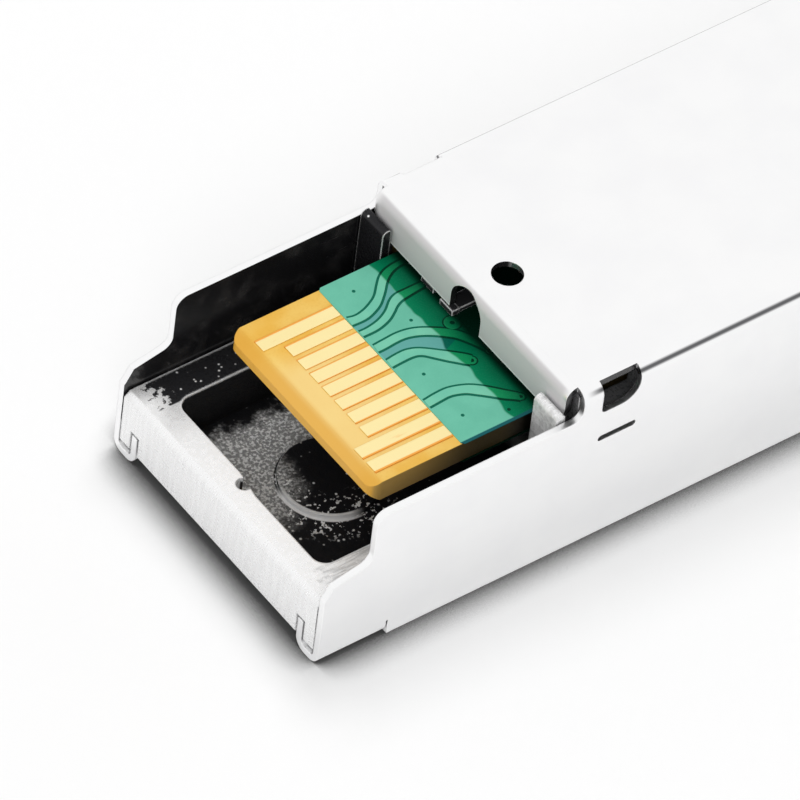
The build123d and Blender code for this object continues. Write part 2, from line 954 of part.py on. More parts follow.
def optics_body():
    half = optics_size / 2
    block = span(
        (optics_rear, -half, axis_height - half),
        (optics_front, half, axis_height + half),
    )
    block = fillet(block.edges().filter_by(Axis.X), optics_corner)
    cap = can_cap_diameter / 2 + can_seat_gap
    laser_end = laser_header_front + laser_cap_length + can_end_gap
    diode_end = half - photodiode_cap_length - can_end_gap
    block -= along_x(cap, optics_rear - past, laser_end, 0, axis_height)
    block -= along_x(light_way_radius, optics_rear, optics_front + past, 0, axis_height)
    block -= along_y(cap, diode_end, half + past, diode_x, axis_height)
    block -= along_y(light_way_radius, 0, half, diode_x, axis_height)
    return block - filter_slot(can_seat_gap)


def transistor_can(cap_length, lead_angles):
    # Built along +Z from the header's outer face; the window end points up.
    on_end = (Align.CENTER, Align.CENTER, Align.MIN)
    header = Cylinder(can_header_diameter / 2, can_header_thickness, align=on_end)
    header = fillet(header.edges().sort_by(Axis.Z)[-1], can_header_edge)
    cap = Pos(0, 0, can_header_thickness) * Cylinder(can_cap_diameter / 2, cap_length, align=on_end)
    cap = fillet(cap.edges().sort_by(Axis.Z)[-1], can_cap_edge)
    lens = Pos(0, 0, can_header_thickness + cap_length - lens_set_in) * Sphere(lens_radius)
    can = header + cap + lens
    lead = Cylinder(can_lead_diameter / 2, can_lead_length + bite, align=on_end)
    for angle in lead_angles:
        can += Rot(0, 0, angle) * Pos(can_lead_circle, 0, -can_lead_length) * lead
    return can


def laser_can():
    stands = Pos(laser_header_rear, 0, axis_height) * Rot(0, 90, 0)
    return stands * transistor_can(laser_cap_length, laser_leads)


def weld_ring():
    hole = can_cap_diameter / 2 + can_seat_gap
    rim = hole + weld_ring_wall
    return turned([
        (laser_header_front, hole), (laser_header_front, rim), (optics_rear, rim), (optics_rear, hole),
    ])


def photodiode_can():
    stands = Pos(diode_x, diode_header_outer, axis_height) * Rot(90, 0, 0)
    return stands * transistor_can(photodiode_cap_length, diode_leads)


def optics_retainer():
    # A yoke drops over the receptacle's neck and holds it against the bulkhead.
    high = neck_front - retainer_gap
    half = trough_half - retainer_side_gap
    low = floor_thickness
    plate = outline(
        [(-half, low), (half, low), (half, retainer_height), (-half, retainer_height)],
        [retainer_low_corner, retainer_low_corner, retainer_top_corner, retainer_top_corner],
    )
    neck = neck_diameter / 2 + barrel_wall_gap
    slot = Pos(0, axis_height) * Circle(neck)
    slot += Pos(0, axis_height / 2) * Rectangle(2 * neck, axis_height)
    return lengthwise(plate - slot, high - retainer_thickness, high)


# Flexible circuits from the two cans to the board

def laser_flex():
    outer = laser_header_rear - flex_standoff
    inner = outer - flex_thickness
    top = board_top + flex_thickness
    low = axis_height - flex_width / 2 + flex_drop
    back = board_front - flex_overlap
    side = outline(
        [(inner, low), (outer, low), (outer, top), (back, top), (back, board_top), (inner, board_top)],
        [0, 0, flex_bend, 0, 0, flex_bend - flex_thickness],
    )
    ribbon = crosswise(side, -flex_width / 2, flex_width / 2)
    for angle in laser_leads:
        y = can_lead_circle * math.cos(math.radians(angle))
        z = can_lead_circle * math.sin(math.radians(angle))
        ribbon -= along_x(flex_lead_hole, inner - past, outer + past, y, axis_height + z)
    return ribbon


def receiver_flex():
    inner = diode_header_outer + flex_standoff
    outer = inner + flex_thickness
    low = axis_height - side_flex_width / 2
    high = low + side_flex_width
    top = board_top + flex_thickness
    tongue = flex_width / 2 + flexes_gap
    section = outline(
        [(outer, low), (outer, top), (tongue, top), (tongue, board_top), (inner, board_top), (inner, low)],
        [0, flex_bend, 0, 0, flex_bend - flex_thickness, 0],
    )
    fold_start = board_front + side_flex_start
    fold_end = fold_start + side_flex_fold
    fold = lengthwise(section, fold_start, fold_end)
    tongue_piece = span(
        (board_front - flex_overlap, tongue, board_top),
        (fold_start + flex_thickness, inner - flex_bend, top),
    )
    end = diode_x + can_header_diameter / 2
    ribbon = outline(
        [(fold_end - flex_thickness, low), (end, low), (end, high), (fold_end - flex_thickness, high)],
        [0, side_flex_corner, side_flex_corner, 0],
    )
    flex = fold + tongue_piece + crosswise(ribbon, inner, outer)
    for angle in diode_leads:
        x = can_lead_circle * math.cos(math.radians(angle))
        z = can_lead_circle * math.sin(math.radians(angle))
        flex -= along_y(flex_lead_hole, inner - past, outer + past, diode_x + x, axis_height + z)
    return flex


# Latch lever, its pin and its spring

def latch_lever():
    tip = shoulder - boss_length
    flank = shoulder - boss_flat
    land = shoulder - boss_land
    rear_end = tip - lever_end_margin
    rear_arm = outline(
        [(rear_end, lever_bottom), (pivot_x, lever_bottom), (pivot_x, lever_top), (rear_end, lever_top)],
        [lever_rear_corner, 0, 0, lever_rear_corner],
    )
    front_end = pivot_x + lever_front_reach
    lever_front_top = lever_front_bottom + lever_front_thickness
    front_arm = outline(
        [(pivot_x, lever_front_bottom), (front_end, lever_front_bottom),
         (front_end, lever_front_top), (pivot_x, lever_front_top)],
        [0, lever_front_corner, lever_front_corner, 0],
    )
    lever = crosswise(rear_arm, -lever_rear_width / 2, lever_rear_width / 2)
    lever += crosswise(front_arm, -lever_front_width / 2, lever_front_width / 2)
    hub_half = latch_cavity_width / 2 - lever_side_gap
    lever += along_y(lever_hub_radius, -hub_half, hub_half, pivot_x, pivot_height)
    lever -= along_y(pivot_diameter / 2 + running_gap, -2 * nose_half, 2 * nose_half, pivot_x, pivot_height)
    half = boss_width / 2
    plan = make_face(Polyline(
        (shoulder, -half), (shoulder, half), (flank, half), (tip, 0), (flank, -half), close=True,
    ))
    boss = upright(plan, lever_bottom + boss_root, module_height + boss_height)
    ramp = make_face(Polyline(
        (land, module_height + boss_height), (tip, lever_top), (rear_end - past, lever_top),
        (rear_end - past, module_height + past), (land, module_height + past), close=True,
    ))
    return lever + (boss - crosswise(ramp, -boss_width, boss_width))


def lever_pin():
    pin = along_y(pivot_diameter / 2, -nose_half, nose_half, pivot_x, pivot_height)
    return chamfer(pin.edges().filter_by(GeomType.CIRCLE), pin_edge)


def latch_spring():
    # A bowed leaf on the cavity floor pushes the lever's rear arm outwards.
    low = latch_cavity_floor
    high = lever_bottom - spring_gap
    start = bulkhead_rear + spring_start_gap
    middle = start + spring_length / 2
    end = start + spring_length
    skin = spring_thickness
    lower = ThreePointArc((start, low), (middle, high - skin), (end, low))
    upper = ThreePointArc((end, low + skin), (middle, high), (start, low + skin))
    left = Line((start, low + skin), (start, low))
    right = Line((end, low), (end, low + skin))
    leaf = make_face([lower, right, upper, left])
    return crosswise(leaf, -spring_width / 2, spring_width / 2)


# Wire bail with a crank under the lever's front arm

def bail():
    front = nose_front + bail_front_gap + wire_radius
    side = bail_half
    low = bail_foot_height
    crank_end = crank_half_width + crank_taper
    path = FilletPolyline(
        (front, 0, low), (front, side, low), (front, side, bail_z), (bail_x, side, bail_z),
        (bail_x, crank_end, bail_z), (crank_x, crank_half_width, bail_z), (crank_x, 0, bail_z),
        radius=[bail_corner, bail_corner, bail_corner, crank_corner, crank_corner],
    )
    start = Plane(origin=(front, 0, low), z_dir=(0, 1, 0))
    half = sweep(start * Circle(wire_radius), path=path)
    return half + mirror(half, Plane.XZ)


# Spring fingers on a thin band let into the nose

def finger(length, width):
    # Lies along +X from zero, bows towards +Z, centred on Y.
    skin = collar_thickness
    lower = ThreePointArc((0, 0), (length / 2, finger_rise), (length, 0))
    upper = ThreePointArc((length, skin), (length / 2, finger_rise + skin), (0, skin))
    left = Line((0, skin), (0, 0))
    right = Line((length, 0), (length, skin))
    leaf = Plane.XZ * make_face([lower, right, upper, left])
    return extrude(leaf, width / 2, both=True)


def finger_collar():
    start = cover_front + collar_start_gap + collar_end_gap
    end = start + collar_length
    bed = half_width - collar_recess
    top = module_height - collar_recess
    fold = bend_radius - collar_recess
    collar = lengthwise(collar_bed(collar_thickness) - collar_bed(0), end - collar_band, end)
    opening = latch_cavity_width / 2 + collar_corner
    collar -= span(
        (start - past, -opening, module_height - past),
        (end + past, opening, module_height + past),
    )
    length = collar_length - collar_band + finger_root
    pitch = finger_width + finger_gap
    side_count = math.floor((module_height - 2 * side_finger_margin + finger_gap) / pitch)
    first = (module_height - (side_count - 1) * pitch) / 2
    for number in range(side_count):
        place = Pos(start, bed, first + number * pitch) * Rot(-90, 0, 0)
        collar += both_sides(place * finger(length, finger_width))
    outermost = bed - fold - finger_width / 2
    top_count = math.floor((bed - fold - opening + finger_gap) / pitch)
    for number in range(top_count):
        y = outermost - number * pitch
        collar += both_sides(Pos(start, y, top) * finger(length, finger_width))
    return collar


nodes = {
    "housing": housing(),
    "cover": cover(),
    "circuit_board": board(),
    "edge_contacts": contacts(),
    "driver_chip": flat_package(driver_place, driver_chip_size, driver_chip_height, True),
    "controller_chip": flat_package(
        controller_place, controller_chip_size, controller_chip_height, False),
    "memory_chip": memory_chip(),
    "chip_capacitors": chip_parts(capacitor_places, capacitor_size),
    "chip_resistors": chip_parts(resistor_places, resistor_size) + chip_parts(array_places, array_size),
    "chip_inductors": chip_parts(inductor_places, inductor_size),
    "thermal_pad": thermal_pad(),
    "receptacle": receptacle(),
    "split_sleeve": split_sleeve(),
    "fibre_stub": fibre_stub(),
    "alignment_ring": alignment_ring(),
    "optics_body": optics_body(),
    "splitter_filter": filter_slot(0.0),
    "laser_can": laser_can(),
    "weld_ring": weld_ring(),
    "photodiode_can": photodiode_can(),
    "optics_retainer": optics_retainer(),
    "laser_flex": laser_flex(),
    "receiver_flex": receiver_flex(),
    "latch_lever": latch_lever(),
    "lever_pin": lever_pin(),
    "latch_spring": latch_spring(),
    "bail": bail(),
    "finger_collar": finger_collar(),
}

os.makedirs("parts", exist_ok=True)
for name, shape in nodes.items():
    solids = [solid for piece in (shape if isinstance(shape, list) else [shape]) for solid in piece.solids()]
    node = solids[0] if len(solids) == 1 else Compound(children=solids)
    export_step(node, os.path.join("parts", name + ".step"))
    print(name, len(solids))
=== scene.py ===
import math

import bmesh
import bpy
from mathutils import Matrix, Vector


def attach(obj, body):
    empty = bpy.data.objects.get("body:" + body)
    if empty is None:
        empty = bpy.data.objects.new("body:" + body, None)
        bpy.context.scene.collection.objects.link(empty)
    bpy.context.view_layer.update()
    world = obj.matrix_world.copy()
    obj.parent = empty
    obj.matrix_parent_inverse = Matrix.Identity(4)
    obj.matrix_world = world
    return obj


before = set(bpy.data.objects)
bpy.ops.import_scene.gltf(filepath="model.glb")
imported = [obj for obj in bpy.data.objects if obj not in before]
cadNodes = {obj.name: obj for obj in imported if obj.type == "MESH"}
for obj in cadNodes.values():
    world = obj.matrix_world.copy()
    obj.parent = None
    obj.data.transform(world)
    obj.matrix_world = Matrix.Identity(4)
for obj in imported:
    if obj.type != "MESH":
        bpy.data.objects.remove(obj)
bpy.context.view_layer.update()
scene = bpy.context.scene
mm = 0.001
print("frame loaded:", len(cadNodes), "nodes")


# Camera, at the angle solved from the photograph

camera = {
    "azimuth": -41.628,
    "elevation": 47.014,
    "roll": 7.586,
    "distance": 526.84,  # mm
    "lens": 621.8,
    "sensor": 36,
    "clip": (0.01, 20),  # m
    "aimX": -23.75,  # rear end of the module, mm
    "shiftRight": 7.094,
    "shiftUp": 5.889,
}


def makeCamera():
    azimuth, elevation, roll = (math.radians(camera[key]) for key in ("azimuth", "elevation", "roll"))
    back = Vector((
        math.sin(azimuth) * math.cos(elevation),
        -math.cos(azimuth) * math.cos(elevation),
        math.sin(elevation),
    ))
    level = (-back).cross(Vector((0, 0, 1))).normalized()
    upright = level.cross(-back)
    right = math.cos(roll) * level + math.sin(roll) * upright
    up = -math.sin(roll) * level + math.cos(roll) * upright
    spot = camera["shiftRight"] * right + camera["shiftUp"] * up + camera["distance"] * back
    spot.x += camera["aimX"]
    data = bpy.data.cameras.new("photoCamera")
    data.lens = camera["lens"]
    data.sensor_width = camera["sensor"]
    data.clip_start, data.clip_end = camera["clip"]
    holder = bpy.data.objects.new("photoCamera", data)
    turn = Matrix((right, up, back)).transposed().to_4x4()
    holder.matrix_world = Matrix.Translation(spot * mm) @ turn
    scene.collection.objects.link(holder)
    scene.camera = holder


makeCamera()
scene.view_settings.view_transform = "Standard"


# Shader helpers

number, vector3 = "NodeSocketFloat", "NodeSocketVector"
colourMixInputs = (0, 6, 7)  # factor and the two colours of a mix node
colourMixOutput = 2


def grey(level):
    return (level, level, level, 1)


def past(place, run):
    # a pair of distances, moved to a place along an axis
    return place + run[0], place + run[1]


def feed(tree, socket, value):
    if isinstance(value, bpy.types.NodeSocket):
        tree.links.new(value, socket)
    else:
        socket.default_value = value


def put(tree, kind, inputs=None, **settings):
    node = tree.nodes.new(kind)
    for key, value in settings.items():
        setattr(node, key, value)
    for key, value in (inputs or {}).items():
        feed(tree, node.inputs[key], value)
    return node


def calc(tree, operation, first, second=0.0):
    return put(tree, "ShaderNodeMath", {0: first, 1: second}, operation=operation).outputs[0]


def plus(tree, first, second):
    return calc(tree, "ADD", first, second)


def minus(tree, first, second):
    return calc(tree, "SUBTRACT", first, second)


def times(tree, first, second):
    return calc(tree, "MULTIPLY", first, second)


def larger(tree, first, second):
    return calc(tree, "MAXIMUM", first, second)


def absolute(tree, value):
    return calc(tree, "ABSOLUTE", value)


def step(tree, value, low, high, start=0.0, end=1.0):
    # smooth change from start to end while value goes from low to high
    node = put(tree, "ShaderNodeMapRange", {
        "Value": value, "From Min": low, "From Max": high, "To Min": start, "To Max": end,
    }, interpolation_type="SMOOTHSTEP")
    return node.outputs[0]


def fade(tree, value, low, high):
    # mask that falls from one to zero while value goes from low to high
    return step(tree, value, low, high, 1, 0)


def between(tree, value, low, high, soft=0.04):
    # mask that is one while value lies between low and high
    rise = step(tree, value, low - soft, low + soft)
    return times(tree, rise, fade(tree, value, high - soft, high + soft))


def both(tree, *masks):
    joined = masks[0]
    for mask in masks[1:]:
        joined = times(tree, joined, mask)
    return joined


def blendColour(tree, factor, first, second):
    node = put(tree, "ShaderNodeMix", data_type="RGBA")
    for index, value in zip(colourMixInputs, (factor, first, second)):
        feed(tree, node.inputs[index], value)
    return node.outputs[colourMixOutput]


def noise(tree, vector, scale, detail=2.0, roughness=0.5):
    node = put(tree, "ShaderNodeTexNoise", {
        "Vector": vector, "Scale": scale, "Detail": detail, "Roughness": roughness,
    })
    return node.outputs["Fac"]


def patches(tree, vector, scale, detail, roughness, low, high):
    # mask of the places where a noise is above a soft level
    return step(tree, noise(tree, vector, scale, detail, roughness), low, high)


def sway(tree, vector, scale, detail, roughness, reach):
    # noise to both sides of zero
    return times(tree, minus(tree, noise(tree, vector, scale, detail, roughness), 0.5), reach)


def stretch(tree, vector, factors):
    return put(tree, "ShaderNodeVectorMath", {0: vector, 1: factors}, operation="MULTIPLY").outputs[0]


def faceDirection(tree):
    normal = put(tree, "ShaderNodeNewGeometry").outputs["Normal"]
    return put(tree, "ShaderNodeSeparateXYZ", {0: normal}).outputs


def newGroup(name, inputs, outputs):
    group = bpy.data.node_groups.new(name, "ShaderNodeTree")
    for label, kind, value in inputs:
        socket = group.interface.new_socket(label, in_out="INPUT", socket_type=kind)
        if value is not None:
            socket.default_value = value
    for label, kind in outputs:
        group.interface.new_socket(label, in_out="OUTPUT", socket_type=kind)
    return group, put(group, "NodeGroupInput").outputs, put(group, "NodeGroupOutput").inputs


def place(tree, group, **inputs):
    node = put(tree, "ShaderNodeGroup", node_tree=group)
    for key, value in inputs.items():
        feed(tree, node.inputs[key], value)
    return node.outputs


# Effects that several finishes share
# A noise is given as scale, detail and roughness, and then by its levels or its reach

noiseSpan = (0.3, 0.7)  # nearly all of a noise lies between these levels
edgeFinder = {
    "samples": 6,
    "turn": (0.01, 0.12),  # how far the rounded normal has turned away at an edge
}
castSkin = {
    "coarse": (3.0, 0.6),
    "fineRatio": 4.5,
    "fineShare": 0.35,
    "cellRatio": 1.3,
    "pitSize": (0.05, 0.22),
    "pitPlace": (0.5, 0.62),
}
sheetSkin = {
    "lines": (3.0, 0.6),
    "lineShare": 0.5,
    "cloud": (0.45, 3.0, 0.5, 0.25, 0.75),
    "scuffs": (0.35, 4.0, 0.7, 0.62, 0.72),
}
grainSize = (0.12, 0.38)
# shape and depth of the painted reflection of the lip on the board
lipMirror = {
    "sway": (0.8, 1.0, 0.5, 0.7),
    "depth": (0.0, 1.6),
}


def makeMillimetres():
    # object coordinates in millimetres
    group, _, out = newGroup(
        "millimetres", [], [("Vector", vector3), ("X", number), ("Y", number), ("Z", number)]
    )
    position = put(group, "ShaderNodeTexCoord").outputs["Object"]
    scaled = put(group, "ShaderNodeVectorMath", {0: position, "Scale": 1 / mm}, operation="SCALE")
    parts = put(group, "ShaderNodeSeparateXYZ", {0: scaled.outputs[0]}).outputs
    feed(group, out["Vector"], scaled.outputs[0])
    for axis in "XYZ":
        feed(group, out[axis], parts[axis])
    return group


def makeSoftEdge():
    # rounds the normal over an edge and gives a mask of the edges
    group, inn, out = newGroup(
        "softEdge", [("Radius", number, 0.00005)], [("Normal", vector3), ("Edge", number)]
    )
    rounded = put(group, "ShaderNodeBevel", {"Radius": inn["Radius"]}, samples=edgeFinder["samples"])
    rounded = rounded.outputs[0]
    plain = put(group, "ShaderNodeNewGeometry").outputs["Normal"]
    dot = put(group, "ShaderNodeVectorMath", {0: rounded, 1: plain}, operation="DOT_PRODUCT")
    feed(group, out["Normal"], rounded)
    feed(group, out["Edge"], step(group, minus(group, 1.0, dot.outputs["Value"]), *edgeFinder["turn"]))
    return group


def makeCastGrain():
    # orange-peel skin of a die casting with small pits
    group, inn, out = newGroup(
        "castGrain",
        [("Vector", vector3, None), ("Scale", number, 6.0), ("Pits", number, 0.4)],
        [("Height", number), ("Tone", number), ("Pit", number)],
    )
    coarse = noise(group, inn["Vector"], inn["Scale"], *castSkin["coarse"])
    fine = noise(group, inn["Vector"], times(group, inn["Scale"], castSkin["fineRatio"]))
    cells = put(group, "ShaderNodeTexVoronoi", {
        "Vector": inn["Vector"], "Scale": times(group, inn["Scale"], castSkin["cellRatio"]),
    })
    pit = fade(group, cells.outputs["Distance"], *castSkin["pitSize"])
    pit = both(group, pit, step(group, coarse, *castSkin["pitPlace"]), inn["Pits"])
    height = plus(group, coarse, times(group, fine, castSkin["fineShare"]))
    feed(group, out["Height"], minus(group, height, pit))
    feed(group, out["Tone"], step(group, coarse, *noiseSpan))
    feed(group, out["Pit"], pit)
    return group


def makeSheetGrain():
    # faint rolling lines and handling marks of a plated sheet
    group, inn, out = newGroup(
        "sheetGrain",
        [("Vector", vector3, None), ("Scale", number, 20.0), ("Stretch", number, 8.0)],
        [("Height", number), ("Tone", number), ("Marks", number)],
    )
    across = put(group, "ShaderNodeCombineXYZ", {"X": 1.0, "Y": inn["Stretch"], "Z": inn["Stretch"]})
    drawn = stretch(group, inn["Vector"], across.outputs[0])
    lines = noise(group, drawn, calc(group, "DIVIDE", inn["Scale"], inn["Stretch"]), *sheetSkin["lines"])
    peel = noise(group, inn["Vector"], inn["Scale"])
    feed(group, out["Height"], plus(group, times(group, lines, sheetSkin["lineShare"]), peel))
    feed(group, out["Tone"], patches(group, inn["Vector"], *sheetSkin["cloud"]))
    feed(group, out["Marks"], patches(group, drawn, *sheetSkin["scuffs"]))
    return group


def makeSparkle():
    # painted glints: scattered bright grains, as on a rough casting in a dark recess
    group, inn, out = newGroup(
        "sparkle",
        [("Vector", vector3, None), ("Scale", number, 9.0), ("Amount", number, 0.3)],
        [("Mask", number)],
    )
    cells = put(group, "ShaderNodeTexVoronoi", {"Vector": inn["Vector"], "Scale": inn["Scale"]})
    shade = put(group, "ShaderNodeSeparateColor", {0: cells.outputs["Color"]}).outputs[0]
    chosen = calc(group, "LESS_THAN", shade, inn["Amount"])
    feed(group, out["Mask"], times(group, chosen, fade(group, cells.outputs["Distance"], *grainSize)))
    return group


def makeLipShade():
    # painted reflection and shade: where the glossy board would show the dark face of the cover's lip
    # instead of the light above it, its colour is painted darker
    group, inn, out = newGroup(
        "lipShade",
        [("Vector", vector3, None), ("Edge", number, -13.62), ("Soft", number, 0.05)],
        [("Mask", number), ("Depth", number)],
    )
    parts = put(group, "ShaderNodeSeparateXYZ", {0: inn["Vector"]}).outputs
    sideways = put(group, "ShaderNodeCombineXYZ", {"Y": parts["Y"]}).outputs[0]
    bent = sway(group, sideways, *lipMirror["sway"])
    inward = minus(group, plus(group, parts["X"], bent), inn["Edge"])
    feed(group, out["Mask"], step(group, inward, times(group, inn["Soft"], -1.0), inn["Soft"]))
    feed(group, out["Depth"], step(group, inward, *lipMirror["depth"]))
    return group


millimetres = makeMillimetres()
softEdge = makeSoftEdge()
castGrain = makeCastGrain()
sheetGrain = makeSheetGrain()
sparkle = makeSparkle()
lipShade = makeLipShade()


def startFinish(name):
    material = bpy.data.materials.new(name)
    material.use_nodes = True
    tree = material.node_tree
    return material, tree, tree.nodes["Principled BSDF"].inputs


def startSolid(name, edgeRadius):
    # a CAD node's finish: with the place on the part and the rounded edges at hand
    material, tree, shader = startFinish(name)
    return material, tree, shader, place(tree, millimetres), place(tree, softEdge, Radius=edgeRadius * mm)


def paint(tree, shader, colour, roughness):
    feed(tree, shader["Base Color"], colour)
    feed(tree, shader["Roughness"], roughness)


def bump(tree, shader, height, strength, depth, normal=None):
    node = put(tree, "ShaderNodeBump", {"Height": height, "Strength": strength, "Distance": depth * mm})
    if normal is not None:
        feed(tree, node.inputs["Normal"], normal)
    feed(tree, shader["Normal"], node.outputs[0])


def dress(node, material):
    slots = cadNodes[node].data.materials
    for index in range(len(slots)):
        slots[index] = material
    if not len(slots):
        slots.append(material)


# Sheet cover: satin nickel outside; inside, painted shade in near-black with painted reflections, like a
# nearly black mirror

cover = {
    "colour": grey(0.95),
    "mark": (0.925, 0.925, 0.93, 1),
    # painted highlight along the sheet's edges and along the lip's lower rim
    "edge": grey(0.98),
    # painted shade: the lip, a bend of the same sheet, darker because it faces away from the light
    "lip": (0.68, 0.67, 0.68, 1),
    "lipMetal": 0.08,
    # painted reflection along the bend
    "seam": (0.13, 0.13, 0.135, 1),
    # painted shade: the inner faces of the same sheet, painted near-black, with patches of painted
    # reflection
    "inside": (0.010, 0.010, 0.011, 1),
    "insideSmear": (0.035, 0.034, 0.034, 1),
    "smears": (0.9, 5.0, 0.65, 0.45, 0.7),
    "roughness": (0.28, 0.36),
    "lipRoughness": 0.5,
    "insideRoughness": 0.2,
    "edgeRadius": 0.07,
    "grain": {"Scale": 26.0, "Stretch": 7.0},
    "bump": (0.2, 0.004),
    # places on the folded sheet in millimetres
    "halfWidth": 6.7,
    "plateTop": 8.5,
    "mouth": -12.5,
    "depth": (-0.28, -0.26),  # from an outer face, a point deeper than this is inside
    "sideTurn": (0.5, 0.8),  # how far a face looks sideways
    "tabTop": (1.6, 1.7),
    "lipFace": (0.12, 0.24),  # from the mouth
    "lipBack": (0.25, 0.3),  # from the mouth
    "lipFoot": (6.45, 6.5),
    "lipEnd": (5.7, 6.3),
    "hem": (6.66, 6.72),
    "fold": (1.58, 1.84, 0.09),
    "foldHeight": (7.95, 8.05),
    "foldStart": (0.6, 1.4),  # from the mouth
}


def coverFinish():
    material, tree, shader, at, edge = startSolid("platedSheet", cover["edgeRadius"])
    grain = place(tree, sheetGrain, Vector=at["Vector"], **cover["grain"])
    sideways = absolute(tree, at["Y"])
    deepSide = fade(tree, sideways, *past(cover["halfWidth"], cover["depth"]))
    deepTop = fade(tree, at["Z"], *past(cover["plateTop"], cover["depth"]))
    behindLip = step(tree, at["X"], *past(cover["mouth"], cover["lipBack"]))
    upright = step(tree, absolute(tree, faceDirection(tree)["Y"]), *cover["sideTurn"])
    aboveTabs = step(tree, at["Z"], *cover["tabTop"])
    sideInside = both(tree, deepSide, upright, aboveTabs)
    inside = larger(tree, sideInside, both(tree, deepTop, deepSide, behindLip, aboveTabs))
    # the lip's face, where its painted shade goes
    lip = both(
        tree,
        fade(tree, at["X"], *past(cover["mouth"], cover["lipFace"])),
        step(tree, at["Z"], *cover["lipFoot"]),
        fade(tree, sideways, *cover["lipEnd"]),
    )
    # painted reflection: a thin dark line where the top folds down into the sides, as the bend would mirror
    # something dark
    fold = both(
        tree,
        between(tree, minus(tree, at["Z"], sideways), *cover["fold"]),
        step(tree, at["Z"], *cover["foldHeight"]),
        step(tree, at["X"], *past(cover["mouth"], cover["foldStart"])),
    )
    # painted highlight along the lip's lower rim
    hem = both(tree, lip, fade(tree, at["Z"], *cover["hem"]))
    outer = blendColour(tree, grain["Tone"], cover["mark"], cover["colour"])
    for area, colour in ((lip, "lip"), (edge["Edge"], "edge"), (fold, "seam"), (hem, "edge")):
        outer = blendColour(tree, area, outer, cover[colour])
    # painted reflections on the painted near-black inside
    smears = patches(tree, at["Vector"], *cover["smears"])
    dark = blendColour(tree, smears, cover["inside"], cover["insideSmear"])
    rough = step(tree, grain["Marks"], 0, 1, *cover["roughness"])
    for area, key in ((inside, "insideRoughness"), (lip, "lipRoughness")):
        rough = plus(tree, rough, times(tree, area, cover[key] - cover["roughness"][0]))
    paint(tree, shader, blendColour(tree, inside, outer, dark), rough)
    # barely metallic where the lip's shade and the inside's shade are painted, so their colour shows
    metal = both(tree, step(tree, lip, 0, 1, 1.0, cover["lipMetal"]), fade(tree, inside, 0, 1))
    feed(tree, shader["Metallic"], metal)
    bump(tree, shader, grain["Height"], *cover["bump"], edge["Normal"])
    return material


dress("cover", coverFinish())


# Housing: plated zinc casting, pale on its faces; grainy in the pocket, with painted light, painted shade
# and painted glints there and on the far rail

housing = {
    "colour": grey(0.945),
    "shade": grey(0.93),
    # pale edges and the near post's top: wear and a painted highlight
    "worn": grey(0.97),
    "pit": (0.55, 0.55, 0.56, 1),
    "rib": grey(0.87),
    "floorLight": grey(0.98),
    "floorShade": grey(0.34),
    "floorDark": (0.012, 0.012, 0.014, 1),
    "wall": (0.010, 0.010, 0.011, 1),
    # painted shade on the far rail and far post
    "railFar": (0.018, 0.018, 0.02, 1),
    "railNear": grey(0.62),
    "postNear": grey(0.70),
    # painted shade inside the closed body
    "trough": (0.20, 0.20, 0.205, 1),
    # painted glints, catch lights and highlights
    "spark": grey(0.95),
    "roughness": (0.24, 0.34),
    "pocketRoughness": 0.42,
    "specular": 0.2,
    "metal": 0.4,
    "dullMetal": 0.1,
    "edgeRadius": 0.09,
    "catchRadius": 0.2,
    "bump": (0.5, 0.03),
    "grainHeight": 0.04,
    "pocketGrainHeight": 2.5,
    "grain": {"Scale": 5.0, "Pits": 0.03},
    "pocketGrain": {"Scale": 4.2, "Pits": 0.5},
    "railSparks": {"Scale": 5.5, "Amount": 0.12},
    "floorSparks": {"Scale": 5.0, "Amount": 0.08},
    # noises: scale, detail, roughness, then the levels or the reach
    "ribStretch": (1.0, 5.0, 0.35),
    "ribs": (1.3, 2.0, 0.5, 0.3, 0.7),
    "streakStretch": (1.0, 9.0, 1.0),
    "streaks": (1.4, 3.0, 0.6, 0.35, 0.65),
    "worms": (8.0, 3.0, 0.6, 0.44, 0.62),
    "blobs": (6.0, 2.0, 0.5, 0.60, 0.64),
    "wobble": (1.6, 4.0, 0.7, 2.6),
    "blotch": (3.6, 4.0, 0.7, 4.0),
    # places on the casting in millimetres
    "rear": -23.75,
    "rearFace": (0.05, 0.15),  # from the rear
    "endWall": -22.45,
    "wallFoot": (-0.12, -0.05),  # from the end wall
    "blotchStart": (-0.45, -0.2),  # from the end wall
    "post": (-13.05, -12.4),
    "postLead": 0.05,
    "postBack": (1.0, 2.0),  # from the post's end
    "postStart": (0.1, 0.2),  # from the post
    "troughStart": (0.0, 0.1),  # from the post's end
    "troughEnd": (20.2, 20.3),
    "troughHalf": (6.3, 6.35),
    "floorTop": (0.5, 0.6),
    "railTop": 3.25,
    "pocketTop": (-0.2, -0.1),  # from the rail's top
    "postFoot": (0.05, 0.1),  # from the rail's top
    "railFoot": (2.0, 2.1),
    "railOuter": (6.6, 6.7),
    "pocketHalf": 4.9,
    "pocketSide": (0.0, 0.08),  # from the pocket's side
    "railInner": (-0.1, -0.02),  # from the pocket's side
    "farSide": (-0.2, 0.2),
    "farWall": (3.7, 4.7),
    "catchEnd": (-17.0, -16.0),
    "catchFoot": (3.0, 3.05),
    "upTurn": (0.5, 0.8),  # how far a face looks upward
    # painted light and painted shade on the two sides of the pocket's floor, and the round mark on it with
    # its painted highlight, shadow and reflection
    "lightFrom": 19.7,
    "lightSlope": -0.8,
    "lightSide": (-0.6, 1.5),
    "disc": (-18.25, 0.2),
    "discRadius": 2.05,
    "discSlope": 0.75,
    "discRim": (-0.12, 0.13),  # from the disc's radius
    "discRimEnd": (-2.0, -1.3),
    "discFace": (-0.05, 0.0),  # from the disc's radius
    "discShade": (-1.7, -0.5),
    "discSway": 0.35,
    "discDim": 0.8,
    "discGroove": (0.02, 0.09),  # from the disc's radius
    "discSoft": 0.03,
    "blobReach": (0.5, 1.3),
    "blobEnd": (-0.9, 0.2),
}


